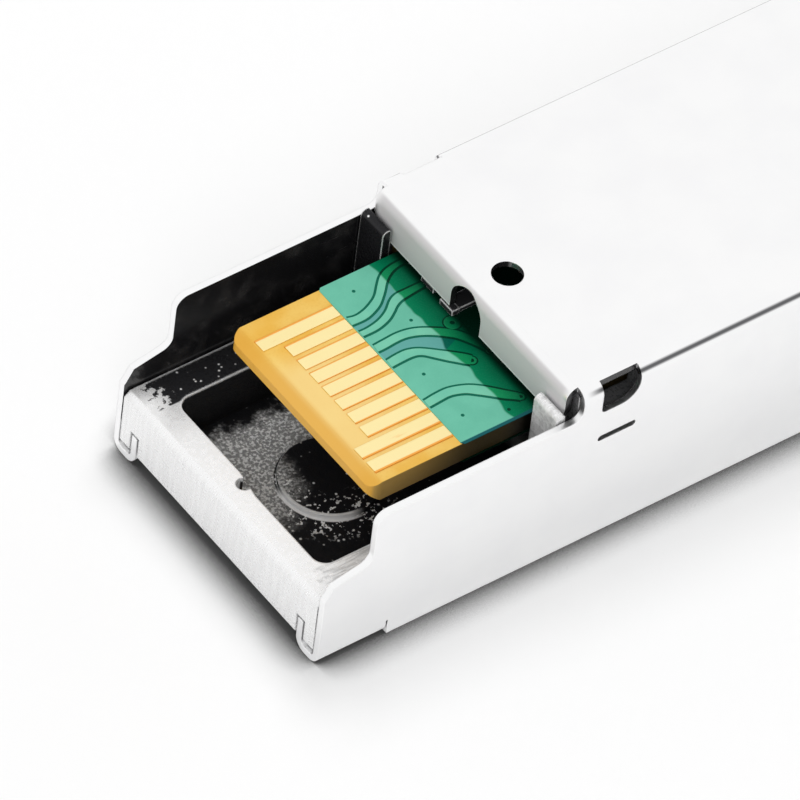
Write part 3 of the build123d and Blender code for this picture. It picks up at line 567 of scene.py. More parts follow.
def housingPocket(tree, at, wobble):
    # pocket: painted light on the far side of the grainy floor; painted shade in black towards the near
    # side and on the walls
    discX, discY = (minus(tree, at[axis], middle) for axis, middle in zip("XY", housing["disc"]))
    squares = (calc(tree, "POWER", side, 2.0) for side in (discX, discY))
    radius = calc(tree, "SQRT", plus(tree, *squares))
    slanted = plus(tree, discX, times(tree, discY, housing["discSlope"]))
    across = times(tree, plus(tree, at["X"], housing["lightFrom"]), housing["lightSlope"])
    across = plus(tree, at["Y"], across)
    # painted highlight: a bright crescent on the disc's rim
    rim = both(
        tree,
        between(tree, radius, *past(housing["discRadius"], housing["discRim"]), housing["discSoft"]),
        fade(tree, slanted, *housing["discRimEnd"]),
    )
    # painted shadow: a thin dark arc around the disc
    groove = between(tree, radius, *past(housing["discRadius"], housing["discGroove"]), housing["discSoft"])
    onDisc = fade(tree, radius, *past(housing["discRadius"], housing["discFace"]))
    # painted reflection: the disc darkens towards the board above it
    shaded = minus(tree, discX, times(tree, wobble, housing["discSway"]))
    shaded = both(tree, onDisc, step(tree, shaded, *housing["discShade"]))
    lightSide = both(
        tree,
        step(tree, plus(tree, across, wobble), *housing["lightSide"]),
        fade(tree, shaded, 0, 1),
        step(tree, onDisc, 0, 1, 1.0, housing["discDim"]),
        fade(tree, plus(tree, at["Y"], wobble), *housing["farWall"]),
    )
    # painted highlights: white blobs gather about the disc's rim
    blobs = both(
        tree,
        patches(tree, at["Vector"], *housing["blobs"]),
        fade(tree, absolute(tree, minus(tree, radius, housing["discRadius"])), *housing["blobReach"]),
        fade(tree, slanted, *housing["blobEnd"]),
    )
    sparks = place(tree, sparkle, Vector=at["Vector"], **housing["floorSparks"])["Mask"]
    # the floor's grain drawn as painted highlights and painted shade
    worms = patches(tree, at["Vector"], *housing["worms"])
    speckled = blendColour(tree, worms, housing["floorShade"], housing["floorLight"])
    ground = blendColour(tree, lightSide, housing["floorDark"], speckled)
    ground = blendColour(tree, groove, ground, housing["floorDark"])
    ground = blendColour(tree, larger(tree, sparks, blobs), ground, housing["spark"])
    upward = step(tree, faceDirection(tree)["Z"], *housing["upTurn"])
    hollow = blendColour(tree, upward, housing["wall"], ground)
    return blendColour(tree, rim, hollow, housing["spark"])


def housingFinish():
    material, tree, shader, at, edge = startSolid("platedCasting", housing["edgeRadius"])
    grain = place(tree, castGrain, Vector=at["Vector"], **housing["grain"])
    rough = place(tree, castGrain, Vector=at["Vector"], **housing["pocketGrain"])
    sparks = place(tree, sparkle, Vector=at["Vector"], **housing["railSparks"])["Mask"]
    sideways = absolute(tree, at["Y"])
    far = step(tree, at["Y"], *housing["farSide"])
    aboveFloor = step(tree, at["Z"], *housing["floorTop"])
    postFront, postEnd = housing["post"]

    ribs = patches(tree, stretch(tree, at["Vector"], housing["ribStretch"]), *housing["ribs"])
    rearFace = fade(tree, at["X"], *past(housing["rear"], housing["rearFace"]))
    pale = blendColour(tree, grain["Tone"], housing["shade"], housing["colour"])
    ribs = both(tree, rearFace, ribs)
    # pale edges: wear and a painted highlight
    for area, colour in ((ribs, "rib"), (grain["Pit"], "pit"), (edge["Edge"], "worn")):
        pale = blendColour(tree, area, pale, housing[colour])

    pocket = both(
        tree,
        fade(tree, at["Z"], *past(housing["railTop"], housing["pocketTop"])),
        fade(tree, sideways, *past(housing["pocketHalf"], housing["pocketSide"])),
        step(tree, at["X"], *past(housing["endWall"], housing["wallFoot"])),
        fade(tree, at["X"], *past(postEnd, housing["postBack"])),
        aboveFloor,
    )
    hollow = housingPocket(tree, at, sway(tree, at["Vector"], *housing["wobble"]))

    # tops of the side rails: painted shade in black with painted glints on the far side, brushed grey on
    # the near one
    blotch = sway(tree, at["Vector"], *housing["blotch"])
    rail = both(
        tree,
        step(tree, at["Z"], *housing["railFoot"]),
        step(tree, plus(tree, at["X"], blotch), *past(housing["endWall"], housing["blotchStart"])),
        fade(tree, at["X"], *past(postFront, housing["postStart"])),
        fade(tree, sideways, *housing["railOuter"]),
        step(tree, sideways, *past(housing["pocketHalf"], housing["railInner"])),
    )
    brushed = patches(tree, stretch(tree, at["Vector"], housing["streakStretch"]), *housing["streaks"])
    railTone = blendColour(tree, brushed, housing["railNear"], housing["colour"])

    post = both(
        tree,
        between(tree, at["X"], postFront - housing["postLead"], postEnd),
        step(tree, at["Z"], *past(housing["railTop"], housing["postFoot"])),
    )
    postTone = blendColour(tree, rough["Tone"], housing["postNear"], housing["worn"])
    tops = []
    # the far rail and the far post get the painted shade; painted glints on both
    for tone in (railTone, postTone):
        tone = blendColour(tree, far, tone, housing["railFar"])
        tops.append(blendColour(tree, sparks, tone, housing["spark"]))

    # painted shade: dark grey inside the closed body, from the posts to the port
    trough = both(
        tree,
        step(tree, at["X"], *past(postEnd, housing["troughStart"])),
        fade(tree, at["X"], *housing["troughEnd"]),
        fade(tree, sideways, *housing["troughHalf"]),
        aboveFloor,
        fade(tree, pocket, 0, 1),
    )
    # painted highlight along the pocket's far edge and the posts' edges
    catchLight = both(
        tree,
        place(tree, softEdge, Radius=housing["catchRadius"] * mm)["Edge"],
        far,
        fade(tree, at["X"], *housing["catchEnd"]),
        step(tree, at["Z"], *housing["catchFoot"]),
    )
    catchLight = larger(tree, catchLight, both(tree, edge["Edge"], post))
    colour = blendColour(tree, rail, pale, tops[0])
    colour = blendColour(tree, pocket, colour, hollow)
    colour = blendColour(tree, post, colour, tops[1])
    colour = blendColour(tree, catchLight, colour, housing["spark"])
    colour = blendColour(tree, trough, colour, housing["trough"])
    smooth, dull = housing["roughness"]
    gloss = step(tree, grain["Tone"], 0, 1, dull, smooth)
    gloss = plus(tree, gloss, times(tree, pocket, housing["pocketRoughness"] - smooth))
    paint(tree, shader, colour, gloss)
    shader["Specular IOR Level"].default_value = housing["specular"]
    # less metallic where light and shade are painted, so that the painted colour shows
    unplated = larger(tree, larger(tree, pocket, rail), catchLight)
    feed(tree, shader["Metallic"], step(tree, unplated, 0, 1, housing["metal"], housing["dullMetal"]))
    height = blendColour(
        tree, pocket,
        times(tree, grain["Height"], housing["grainHeight"]),
        times(tree, rough["Height"], housing["pocketGrainHeight"]),
    )
    bump(tree, shader, height, *housing["bump"], edge["Normal"])
    return material


dress("housing", housingFinish())


# Circuit board: bare golden laminate at the tongue, with painted shade on it inside the cover

board = {
    "laminate": (0.84, 0.47, 0.065, 1),
    "light": (0.90, 0.60, 0.15, 1),
    "middle": (0.93, 0.68, 0.26, 1),
    "weave": (0.72, 0.38, 0.04, 1),
    "bevel": (0.80, 0.41, 0.05, 1),
    "side": (0.56, 0.34, 0.085, 1),
    # painted shade where the board runs inside the cover
    "sideDark": (0.07, 0.05, 0.016, 1),
    "deep": (0.004, 0.003, 0.001, 1),
    "shares": {"weave": 0.2, "middle": 0.8, "bevel": 0.8},
    "fibres": (9.0, 3.0, 0.6),
    "weaveLevels": (0.5, 0.7),
    "cloud": (0.55, 2.0, 0.5, 0.3, 0.7),
    "roughness": (0.42, 0.54),
    "specular": 0.3,
    "bump": (0.15, 0.008),
    "edgeRadius": 0.05,
    # places on the board in millimetres
    "top": 6.25,
    "thickness": 1.0,
    "rear": -20.31,
    "bevelEnd": (0.25, 0.65),  # from the rear
    "sideTurn": (0.6, 0.9),  # how far a face looks sideways
    "inward": (-19.6, -15.2),
    "middleY": -0.8,
    "middleHalf": (2.0, 3.8),
    "middleEnd": (-18.5, -16.5),
    "sideEnd": (-14.4, -12.9),
    "coreEnd": (-12.6, -12.0),
}


def boardFinish():
    material, tree, shader, at, edge = startSolid("laminate", board["edgeRadius"])
    fibres = noise(tree, at["Vector"], *board["fibres"])
    middle = both(
        tree,
        fade(tree, absolute(tree, minus(tree, at["Y"], board["middleY"])), *board["middleHalf"]),
        fade(tree, at["X"], *board["middleEnd"]),
    )
    bevel = fade(tree, at["X"], *past(board["rear"], board["bevelEnd"]))
    cloud = patches(tree, at["Vector"], *board["cloud"])
    weave = step(tree, fibres, *board["weaveLevels"])
    core = blendColour(tree, cloud, board["laminate"], board["light"])
    for area, colour in ((weave, "weave"), (middle, "middle"), (bevel, "bevel")):
        core = blendColour(tree, times(tree, area, board["shares"][colour]), core, board[colour])
    # painted shade: the sides and then the core darken inside the cover
    side = blendColour(tree, step(tree, at["X"], *board["inward"]), board["side"], board["sideDark"])
    side = blendColour(tree, step(tree, at["X"], *board["sideEnd"]), side, board["deep"])
    sideFace = step(tree, absolute(tree, faceDirection(tree)["Y"]), *board["sideTurn"])
    core = blendColour(tree, sideFace, core, side)
    core = blendColour(tree, step(tree, at["X"], *board["coreEnd"]), core, board["sideDark"])
    paint(tree, shader, core, step(tree, fibres, *noiseSpan, *board["roughness"]))
    shader["Specular IOR Level"].default_value = board["specular"]
    bump(tree, shader, fibres, *board["bump"], edge["Normal"])
    return material


dress("circuit_board", boardFinish())


# Edge contacts: polished gold plate, orange along their edges

contacts = {
    "gold": (1.0, 0.84, 0.42, 1),
    "edge": (0.93, 0.42, 0.08, 1),
    "markShare": 0.3,
    "pitch": 0.8,
    "rowShift": 0.2,
    "rowParting": (5.7, 5.8),  # height between the lower and the upper row
    "added": 20.0,  # whole pitches that keep the fraction positive
    "half": 0.3,
    "rim": (-0.05, -0.005),  # from half the contact's width
    "roughness": (0.3, 0.42),
    "grain": {"Scale": 24.0, "Stretch": 5.0},
    "bump": (0.2, 0.004),
    "edgeRadius": 0.02,
}


def contactFinish():
    material, tree, shader, at, edge = startSolid("goldPlate", contacts["edgeRadius"])
    shift = step(tree, at["Z"], *contacts["rowParting"], -contacts["rowShift"], contacts["rowShift"])
    along = calc(tree, "DIVIDE", plus(tree, at["Y"], shift), contacts["pitch"])
    along = calc(tree, "FRACT", plus(tree, along, contacts["added"]))
    off = times(tree, absolute(tree, minus(tree, along, 0.5)), contacts["pitch"])
    rim = step(tree, off, *past(contacts["half"], contacts["rim"]))
    grain = place(tree, sheetGrain, Vector=at["Vector"], **contacts["grain"])
    marks = times(tree, grain["Marks"], contacts["markShare"])
    gold = blendColour(tree, marks, contacts["gold"], contacts["edge"])
    gold = blendColour(tree, rim, gold, contacts["edge"])
    paint(tree, shader, gold, step(tree, grain["Tone"], 0, 1, *contacts["roughness"]))
    shader["Metallic"].default_value = 1
    bump(tree, shader, grain["Height"], *contacts["bump"], edge["Normal"])
    return material


dress("edge_contacts", contactFinish())


# Finishes of the remaining pieces

# spread: how much duller the dark patches are
metalWork = {"markShare": 0.4, "spread": 0.08, "bumpDepth": 0.01}
mouldedWork = {"pits": 0.3, "spread": 0.1, "bumpDepth": 0.012}


def metalFinish(name, look):
    material, tree, shader, at, edge = startSolid(name, look["edge"])
    grain = place(tree, sheetGrain, Vector=at["Vector"], Scale=look["scale"], Stretch=look["stretch"])
    tone = blendColour(tree, grain["Tone"], look["shade"], look["colour"])
    tone = blendColour(tree, times(tree, grain["Marks"], metalWork["markShare"]), tone, look["shade"])
    # pale edges: wear and a painted highlight
    tone = blendColour(tree, edge["Edge"], tone, look["worn"])
    dull = look["roughness"] + metalWork["spread"]
    paint(tree, shader, tone, step(tree, grain["Tone"], 0, 1, dull, look["roughness"]))
    shader["Metallic"].default_value = 1
    bump(tree, shader, grain["Height"], look["bump"], metalWork["bumpDepth"], edge["Normal"])
    return material


def mouldedFinish(name, look):
    material, tree, shader, at, edge = startSolid(name, look["edge"])
    grain = place(tree, castGrain, Vector=at["Vector"], Scale=look["scale"], Pits=mouldedWork["pits"])
    tone = blendColour(tree, grain["Tone"], look["shade"], look["colour"])
    # pale edges: wear and a painted highlight
    tone = blendColour(tree, edge["Edge"], tone, look["worn"])
    dull = look["roughness"] + mouldedWork["spread"]
    paint(tree, shader, tone, step(tree, grain["Tone"], 0, 1, dull, look["roughness"]))
    bump(tree, shader, grain["Height"], look["bump"], mouldedWork["bumpDepth"], edge["Normal"])
    return material


bailSteel = {
    "colour": grey(0.62), "shade": (0.50, 0.50, 0.51, 1), "worn": grey(0.78),
    "scale": 14.0, "stretch": 6.0, "roughness": 0.24, "bump": 0.25, "edge": 0.05,
}
latchSteel = {
    "colour": (0.66, 0.67, 0.68, 1), "shade": (0.54, 0.55, 0.57, 1), "worn": grey(0.88),
    "scale": 16.0, "stretch": 9.0, "roughness": 0.3, "bump": 0.3, "edge": 0.05,
}
springSteel = {
    "colour": (0.72, 0.71, 0.69, 1), "shade": (0.58, 0.57, 0.56, 1), "worn": (0.90, 0.89, 0.87, 1),
    "scale": 22.0, "stretch": 10.0, "roughness": 0.22, "bump": 0.2, "edge": 0.03,
}
turnedSteel = {
    "colour": grey(0.70), "shade": (0.55, 0.55, 0.56, 1), "worn": grey(0.88),
    "scale": 10.0, "stretch": 0.15, "roughness": 0.28, "bump": 0.4, "edge": 0.04,
}
goldCan = {
    "colour": (0.93, 0.73, 0.36, 1), "shade": (0.80, 0.58, 0.24, 1), "worn": (0.98, 0.86, 0.55, 1),
    "scale": 14.0, "stretch": 3.0, "roughness": 0.25, "bump": 0.2, "edge": 0.04,
}
retainerCasting = {
    "colour": (0.62, 0.62, 0.63, 1), "shade": (0.50, 0.50, 0.51, 1), "worn": grey(0.82),
    "scale": 9.0, "stretch": 1.0, "roughness": 0.38, "bump": 0.5, "edge": 0.05,
}
chipPlastic = {
    "colour": (0.022, 0.022, 0.024, 1), "shade": (0.012, 0.012, 0.013, 1), "worn": grey(0.06),
    "scale": 22.0, "roughness": 0.48, "bump": 0.4, "edge": 0.03,
}
thermalRubber = {
    "colour": (0.42, 0.44, 0.47, 1), "shade": (0.36, 0.38, 0.41, 1), "worn": (0.50, 0.52, 0.54, 1),
    "scale": 12.0, "roughness": 0.75, "bump": 0.5, "edge": 0.03,
}
sleeveCeramic = {
    "colour": (0.86, 0.85, 0.82, 1), "shade": (0.80, 0.79, 0.75, 1), "worn": (0.92, 0.91, 0.89, 1),
    "scale": 14.0, "roughness": 0.22, "bump": 0.12, "edge": 0.02,
}
ferriteGrey = {
    "colour": (0.07, 0.068, 0.066, 1), "shade": (0.045, 0.044, 0.043, 1), "worn": (0.14, 0.135, 0.13, 1),
    "scale": 18.0, "roughness": 0.55, "bump": 0.6, "edge": 0.03,
}
amberFilm = {
    "colour": (0.60, 0.26, 0.05, 1), "shade": (0.50, 0.19, 0.03, 1), "worn": (0.72, 0.38, 0.12, 1),
    "scale": 10.0, "roughness": 0.35, "bump": 0.15, "edge": 0.02,
}
chipParts = {
    # pale along every edge of a chip part: tinned ends and a painted highlight
    "end": grey(0.92),
    "capacitor": ((0.34, 0.23, 0.14, 1), (0.42, 0.30, 0.19, 1)),  # shade and colour
    "resistor": ((0.018, 0.018, 0.02, 1), (0.03, 0.03, 0.033, 1)),
    "grain": {"Scale": 20.0, "Pits": 0.3},
    "roughness": (0.5, 0.35),
    "bump": (0.3, 0.01),
    "edgeRadius": 0.11,
}
glass = {
    "blue": (0.75, 0.86, 0.95, 1),
    "violet": (0.9, 0.8, 0.95, 1),
    "haze": (3.0, 3.0),
    "roughness": (0.02, 0.06),
    "transmission": 0.9,
    "ior": 1.5,
}


def chipPartFinish(name, shade, colour):
    # small soldered chip parts: coloured middle, pale along every edge, for their tinned ends and a painted
    # highlight
    material, tree, shader, at, edge = startSolid(name, chipParts["edgeRadius"])
    grain = place(tree, castGrain, Vector=at["Vector"], **chipParts["grain"])
    tone = blendColour(tree, grain["Tone"], shade, colour)
    tone = blendColour(tree, edge["Edge"], tone, chipParts["end"])
    paint(tree, shader, tone, step(tree, grain["Tone"], 0, 1, *chipParts["roughness"]))
    bump(tree, shader, grain["Height"], *chipParts["bump"], edge["Normal"])
    return material


def glassFinish():
    material, tree, shader = startFinish("filterGlass")
    haze = noise(tree, place(tree, millimetres)["Vector"], *glass["haze"])
    tone = blendColour(tree, step(tree, haze, *noiseSpan), glass["blue"], glass["violet"])
    paint(tree, shader, tone, step(tree, haze, *noiseSpan, *glass["roughness"]))
    shader["Transmission Weight"].default_value = glass["transmission"]
    shader["IOR"].default_value = glass["ior"]
    return material


for finish, nodes in (
    (metalFinish("turnedSteel", turnedSteel), ("receptacle", "optics_body", "alignment_ring", "weld_ring")),
    (metalFinish("goldCan", goldCan), ("laser_can", "photodiode_can")),
    (mouldedFinish("sleeveCeramic", sleeveCeramic), ("split_sleeve", "fibre_stub")),
    (mouldedFinish("chipPlastic", chipPlastic), ("driver_chip", "controller_chip", "memory_chip")),
    (metalFinish("latchSteel", latchSteel), ("latch_lever", "lever_pin")),
    (metalFinish("springSteel", springSteel), ("latch_spring", "finger_collar")),
    (mouldedFinish("amberFilm", amberFilm), ("laser_flex", "receiver_flex")),
    (metalFinish("bailSteel", bailSteel), ("bail",)),
    (metalFinish("retainerCasting", retainerCasting), ("optics_retainer",)),
    (mouldedFinish("thermalRubber", thermalRubber), ("thermal_pad",)),
    (mouldedFinish("ferriteGrey", ferriteGrey), ("chip_inductors",)),
    (chipPartFinish("capacitorCeramic", *chipParts["capacitor"]), ("chip_capacitors",)),
    (chipPartFinish("resistorBlack", *chipParts["resistor"]), ("chip_resistors",)),
    (glassFinish(), ("splitter_filter",)),
):
    for node in nodes:
        dress(node, finish)
print("finishes of the CAD nodes done")


# Mesh helpers

def newPiece(name, mesh, material):
    # lies on the board: rides on the shell
    bmesh.ops.recalc_face_normals(mesh, faces=mesh.faces)
    data = bpy.data.meshes.new(name)
    mesh.to_mesh(data)
    mesh.free()
    data.materials.append(material)
    piece = bpy.data.objects.new(name, data)
    scene.collection.objects.link(piece)
    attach(piece, "shell")


def smoothLine(points, steps=6):
    # a soft curve through measured points
    line = []
    last = len(points) - 1
    for index in range(last):
        before = Vector(points[max(index - 1, 0)])
        start = Vector(points[index])
        end = Vector(points[index + 1])
        after = Vector(points[min(index + 2, last)])
        for part in range(steps):
            t = part / steps
            line.append(0.5 * (
                2 * start + (end - before) * t
                + (2 * before - 5 * start + 4 * end - after) * t * t
                + (3 * start - before - 3 * end + after) * t ** 3
            ))
    line.append(Vector(points[-1]))
    return line


def resample(line, count):
    # the same number of points on both sides of a band
    lengths = [0.0]
    for a, b in zip(line, line[1:]):
        lengths.append(lengths[-1] + (b - a).length)
    out = []
    spot = 0
    for index in range(count):
        goal = lengths[-1] * index / (count - 1)
        while spot < len(line) - 2 and lengths[spot + 1] < goal:
            spot += 1
        span = lengths[spot + 1] - lengths[spot]
        out.append(line[spot].lerp(line[spot + 1], (goal - lengths[spot]) / span if span else 0))
    return out


def sideLine(line, shift):
    # a line beside another one
    out = []
    for index, point in enumerate(line):
        ahead = line[min(index + 1, len(line) - 1)] - line[max(index - 1, 0)]
        normal = Vector((-ahead.y, ahead.x)).normalized()
        out.append(point + normal * shift)
    return out


def addPoint(mesh, point, height):
    return mesh.verts.new((point[0] * mm, point[1] * mm, height * mm))


def addSlab(mesh, ring, low, high):
    # closed flat slab from a ring of points in millimetres
    bottom = [addPoint(mesh, point, low) for point in ring]
    top = [addPoint(mesh, point, high) for point in ring]
    mesh.faces.new(top)
    mesh.faces.new(list(reversed(bottom)))
    for index in range(len(ring)):
        following = (index + 1) % len(ring)
        mesh.faces.new((bottom[index], bottom[following], top[following], top[index]))


def addStrip(mesh, left, right, low, high):
    # raised band between two lines with the same number of points
    rows = [
        [addPoint(mesh, point, height) for point, height in ((a, low), (a, high), (b, high), (b, low))]
        for a, b in zip(left, right)
    ]
    for first, second in zip(rows, rows[1:]):
        for side in range(4):
            other = (side + 1) % 4
            mesh.faces.new((first[side], first[other], second[other], second[side]))
    mesh.faces.new(list(reversed(rows[0])))
    mesh.faces.new(rows[-1])


def addRing(mesh, centre, profile, steps=28):
    # turned ring: profile gives radius and height
    rows = []
    for index in range(steps):
        angle = 2 * math.pi * index / steps
        x, y = math.cos(angle), math.sin(angle)
        rows.append([
            addPoint(mesh, (centre[0] + radius * x, centre[1] + radius * y), height)
            for radius, height in profile
        ])
    for index in range(steps):
        first, second = rows[index], rows[(index + 1) % steps]
        for part in range(len(profile)):
            other = (part + 1) % len(profile)
            mesh.faces.new((first[part], second[part], second[other], first[other]))


def flatRing(inner, outer, low, high):
    return [(inner, low), (outer, low), (outer, high), (inner, high)]


# Solder mask, tracks and vias on the board's two faces

mask = {
    "rear": -16.12,
    "front": 6.3,
    "half": 4.72,
    "widerFrom": -11.3,
    "widerHalf": 5.0,
    "corner": 0.12,
    "thick": 0.02,
    # the mask's green as lit, partly its own colour and partly a painted sheen of the bright sky
    "mint": (0.165, 0.545, 0.395, 1),
    "mintLow": (0.145, 0.50, 0.36, 1),
    # painted reflection of the lip: shaded copies of the green, deeper further in
    "shaded": (0.0015, 0.205, 0.09, 1),
    "deep": (0.0005, 0.085, 0.038, 1),
    # painted shade: near-black on the board's underside and beneath the lip
    "under": (0.0005, 0.016, 0.008, 1),
    "rim": (0.012, 0.11, 0.12, 1),
    "roughness": (0.22, 0.30),
    "specular": 0.05,
    "cloud": (0.9, 3.0, 0.5, 0.3, 0.7),
    "ripple": 16.0,
    "bump": (0.1, 0.006),
    "lip": {"Edge": -13.62, "Soft": 0.06},
    "rimEnd": (0.12, 0.17),  # from the mask's near side
    "underTop": (-0.4, -0.3),  # from the board's top
    "underLip": (-12.85, -12.4),
}
tracks = {
    "points": 46,
    "line": 0.105,  # width of an outline
    "sunk": -0.006,  # from the mask's top, like the three below
    "rise": 0.022,
    "lineRise": 0.004,
    "zoneRise": 0.002,
    "mint": (0.20, 0.60, 0.42, 1),
    # shaded copies of the track colours, and of the outline's and bare zone's, for the painted reflection
    # of the lip
    "shaded": (0.008, 0.27, 0.10, 1),
    "outline": (0.008, 0.14, 0.085, 1),
    "outlineDeep": (0.001, 0.045, 0.022, 1),
    "bare": (0.125, 0.40, 0.36, 1),
    "bareDeep": (0.002, 0.12, 0.08, 1),
}
vias = {
    "hub": 0.0004,
    "bore": 0.1,
    "boreShare": 0.5,  # of the ring's radius, at most
    "bevel": 0.03,
    "heights": (0.012, 0.026, 0.01),  # inside, crown and outside
    "sunk": -0.004,
    "wellTop": 0.003,
    "moat": 0.06,
    "moatTop": 0.005,
    "dot": 0.075,
    "dotSteps": 20,
    "merge": 1e-7,  # m
}


def maskFinish(name, bright, brightLow, shaded, deep):
    material, tree, shader = startFinish(name)
    at = place(tree, millimetres)
    lip = place(tree, lipShade, Vector=at["Vector"], **mask["lip"])
    ripple = noise(tree, at["Vector"], mask["ripple"])
    lit = blendColour(tree, patches(tree, at["Vector"], *mask["cloud"]), brightLow, bright)
    # painted reflection and shade: the lit green gives way to shaded copies near the lip
    dim = blendColour(tree, lip["Depth"], shaded, deep)
    seen = blendColour(tree, lip["Mask"], lit, dim)
    seen = blendColour(tree, fade(tree, at["Y"], *past(-mask["half"], mask["rimEnd"])), seen, mask["rim"])
    # painted shade on the underside and under the lip
    hidden = fade(tree, at["Z"], *past(board["top"], mask["underTop"]))
    hidden = larger(tree, hidden, step(tree, at["X"], *mask["underLip"]))
    seen = blendColour(tree, hidden, seen, mask["under"])
    paint(tree, shader, seen, step(tree, ripple, *noiseSpan, *mask["roughness"]))
    shader["Specular IOR Level"].default_value = mask["specular"]
    bump(tree, shader, ripple, *mask["bump"])
    return material


maskGreen = maskFinish("solderMask", mask["mint"], mask["mintLow"], mask["shaded"], mask["deep"])
trackGreen = maskFinish("coveredTrack", tracks["mint"], mask["mint"], tracks["shaded"], mask["deep"])
outlineGreen = maskFinish("trackOutline", *[tracks["outline"]] * 2, *[tracks["outlineDeep"]] * 2)
bareGreen = maskFinish("bareZone", *[tracks["bare"]] * 2, *[tracks["bareDeep"]] * 2)


def makeMaskFilm():
    rear, half, corner = mask["rear"], mask["half"], mask["corner"]
    front, shoulder, wider = mask["front"], mask["widerFrom"], mask["widerHalf"]
    nearSide = [(rear, corner - half), (rear + corner, -half)]
    nearSide += [(shoulder, -half), (shoulder, -wider), (front, -wider)]
    ring = nearSide + [(x, -y) for x, y in reversed(nearSide)]
    bottom = board["top"] - board["thickness"]
    for name, low, high in (
        ("mask_film_top", board["top"], board["top"] + mask["thick"]),
        ("mask_film_under", bottom - mask["thick"], bottom),
    ):
        mesh = bmesh.new()
        addSlab(mesh, ring, low, high)
        newPiece(name, mesh, maskGreen)


makeMaskFilm()

# Both outlines of each covered track, from the rear end of the mask inwards
trackLines = (
    ([(-16.06, 2.88), (-15.7, 2.8), (-15.22, 2.88), (-14.72, 3.09), (-14.4, 3.3), (-14.06, 3.64),
      (-13.72, 3.96), (-13.41, 4.14), (-13.09, 4.23), (-12.73, 4.27), (-11.9, 4.3)],
     [(-16.1, 2.49), (-15.55, 2.47), (-15.13, 2.55), (-14.62, 2.77), (-14.28, 3.03), (-13.97, 3.31),
      (-13.65, 3.63), (-13.33, 3.86), (-13.02, 4.0), (-12.63, 4.08), (-11.9, 4.1)]),
    ([(-16.07, 2.05), (-15.67, 2.05), (-15.08, 2.16), (-14.54, 2.41), (-14.08, 2.77),
      (-13.71, 2.92), (-13.29, 2.93), (-12.71, 2.93), (-11.9, 2.93)],
     [(-16.08, 1.8), (-15.39, 1.81), (-14.77, 1.97), (-14.33, 2.22), (-14.06, 2.41), (-13.74, 2.55),
      (-13.33, 2.61), (-12.58, 2.68), (-11.9, 2.68)]),
    ([(-16.02, 1.19), (-15.53, 1.22), (-14.93, 1.25), (-14.4, 1.18), (-13.95, 1.01), (-13.54, 0.76),
      (-13.21, 0.53), (-12.86, 0.21), (-12.55, -0.26), (-12.38, -0.73), (-12.31, -1.05),
      (-12.2, -1.25)],
     [(-16.06, 0.85), (-15.65, 0.86), (-15.19, 0.9), (-14.75, 0.89), (-14.33, 0.78), (-13.96, 0.6),
      (-13.66, 0.4), (-13.39, 0.18), (-13.05, -0.14), (-12.78, -0.58), (-12.6, -0.95),
      (-12.45, -1.3)]),
    ([(-16.04, 0.31), (-15.58, 0.36), (-15.14, 0.36), (-14.73, 0.23), (-14.39, 0.0),
      (-13.99, -0.34), (-13.59, -0.69), (-13.29, -0.97), (-13.1, -1.2)],
     [(-16.07, -0.07), (-15.58, -0.04), (-15.01, -0.05), (-14.68, -0.19), (-14.37, -0.53),
      (-14.05, -0.89), (-13.72, -1.23), (-13.58, -1.38), (-13.42, -1.52)]),
    ([(-16.05, -2.12), (-15.46, -2.06), (-14.89, -2.07), (-14.3, -2.26), (-13.9, -2.5),
      (-13.48, -2.88), (-13.09, -3.3), (-12.73, -3.67)],
     [(-16.06, -2.48), (-15.52, -2.44), (-15.01, -2.43), (-14.49, -2.61), (-14.12, -2.9),
      (-13.73, -3.25), (-13.39, -3.58), (-13.02, -3.87), (-12.86, -4.02)]),
)
# Unplated zones lie between the tracks of a pair, each with the share of its length that shows
bareBetween = ((0, 1, 0.62), (2, 3, 0.72))
viaRings = ((-12.32, -1.33, 0.19), (-13.25, -1.37, 0.2), (-12.75, -3.86, 0.17), (-12.72, 0.6, 0.34))
viaDots = ((-15.0, 3.9), (-14.0, 1.53), (-15.24, -0.99), (-15.22, -3.48), (-13.53, -4.16))
maskTop = board["top"] + mask["thick"]


def makeTracks():
    low = maskTop + tracks["sunk"]
    bands, outlines, zones = bmesh.new(), bmesh.new(), bmesh.new()
    sides = []
    for points in trackLines:
        left, right = (resample(smoothLine(line), tracks["points"]) for line in points)
        outerLeft, outerRight = sideLine(left, tracks["line"]), sideLine(right, -tracks["line"])
        sides.append((outerLeft, outerRight))
        addStrip(bands, left, right, low, maskTop + tracks["rise"])
        addStrip(outlines, outerLeft, left, low, maskTop + tracks["lineRise"])
        addStrip(outlines, right, outerRight, low, maskTop + tracks["lineRise"])
    for upper, lower, share in bareBetween:
        count = int(tracks["points"] * share)
        addStrip(zones, sides[upper][1][:count], sides[lower][0][:count], low, maskTop + tracks["zoneRise"])
    newPiece("track_bands", bands, trackGreen)
    newPiece("track_outlines", outlines, outlineGreen)
    newPiece("bare_zones", zones, bareGreen)


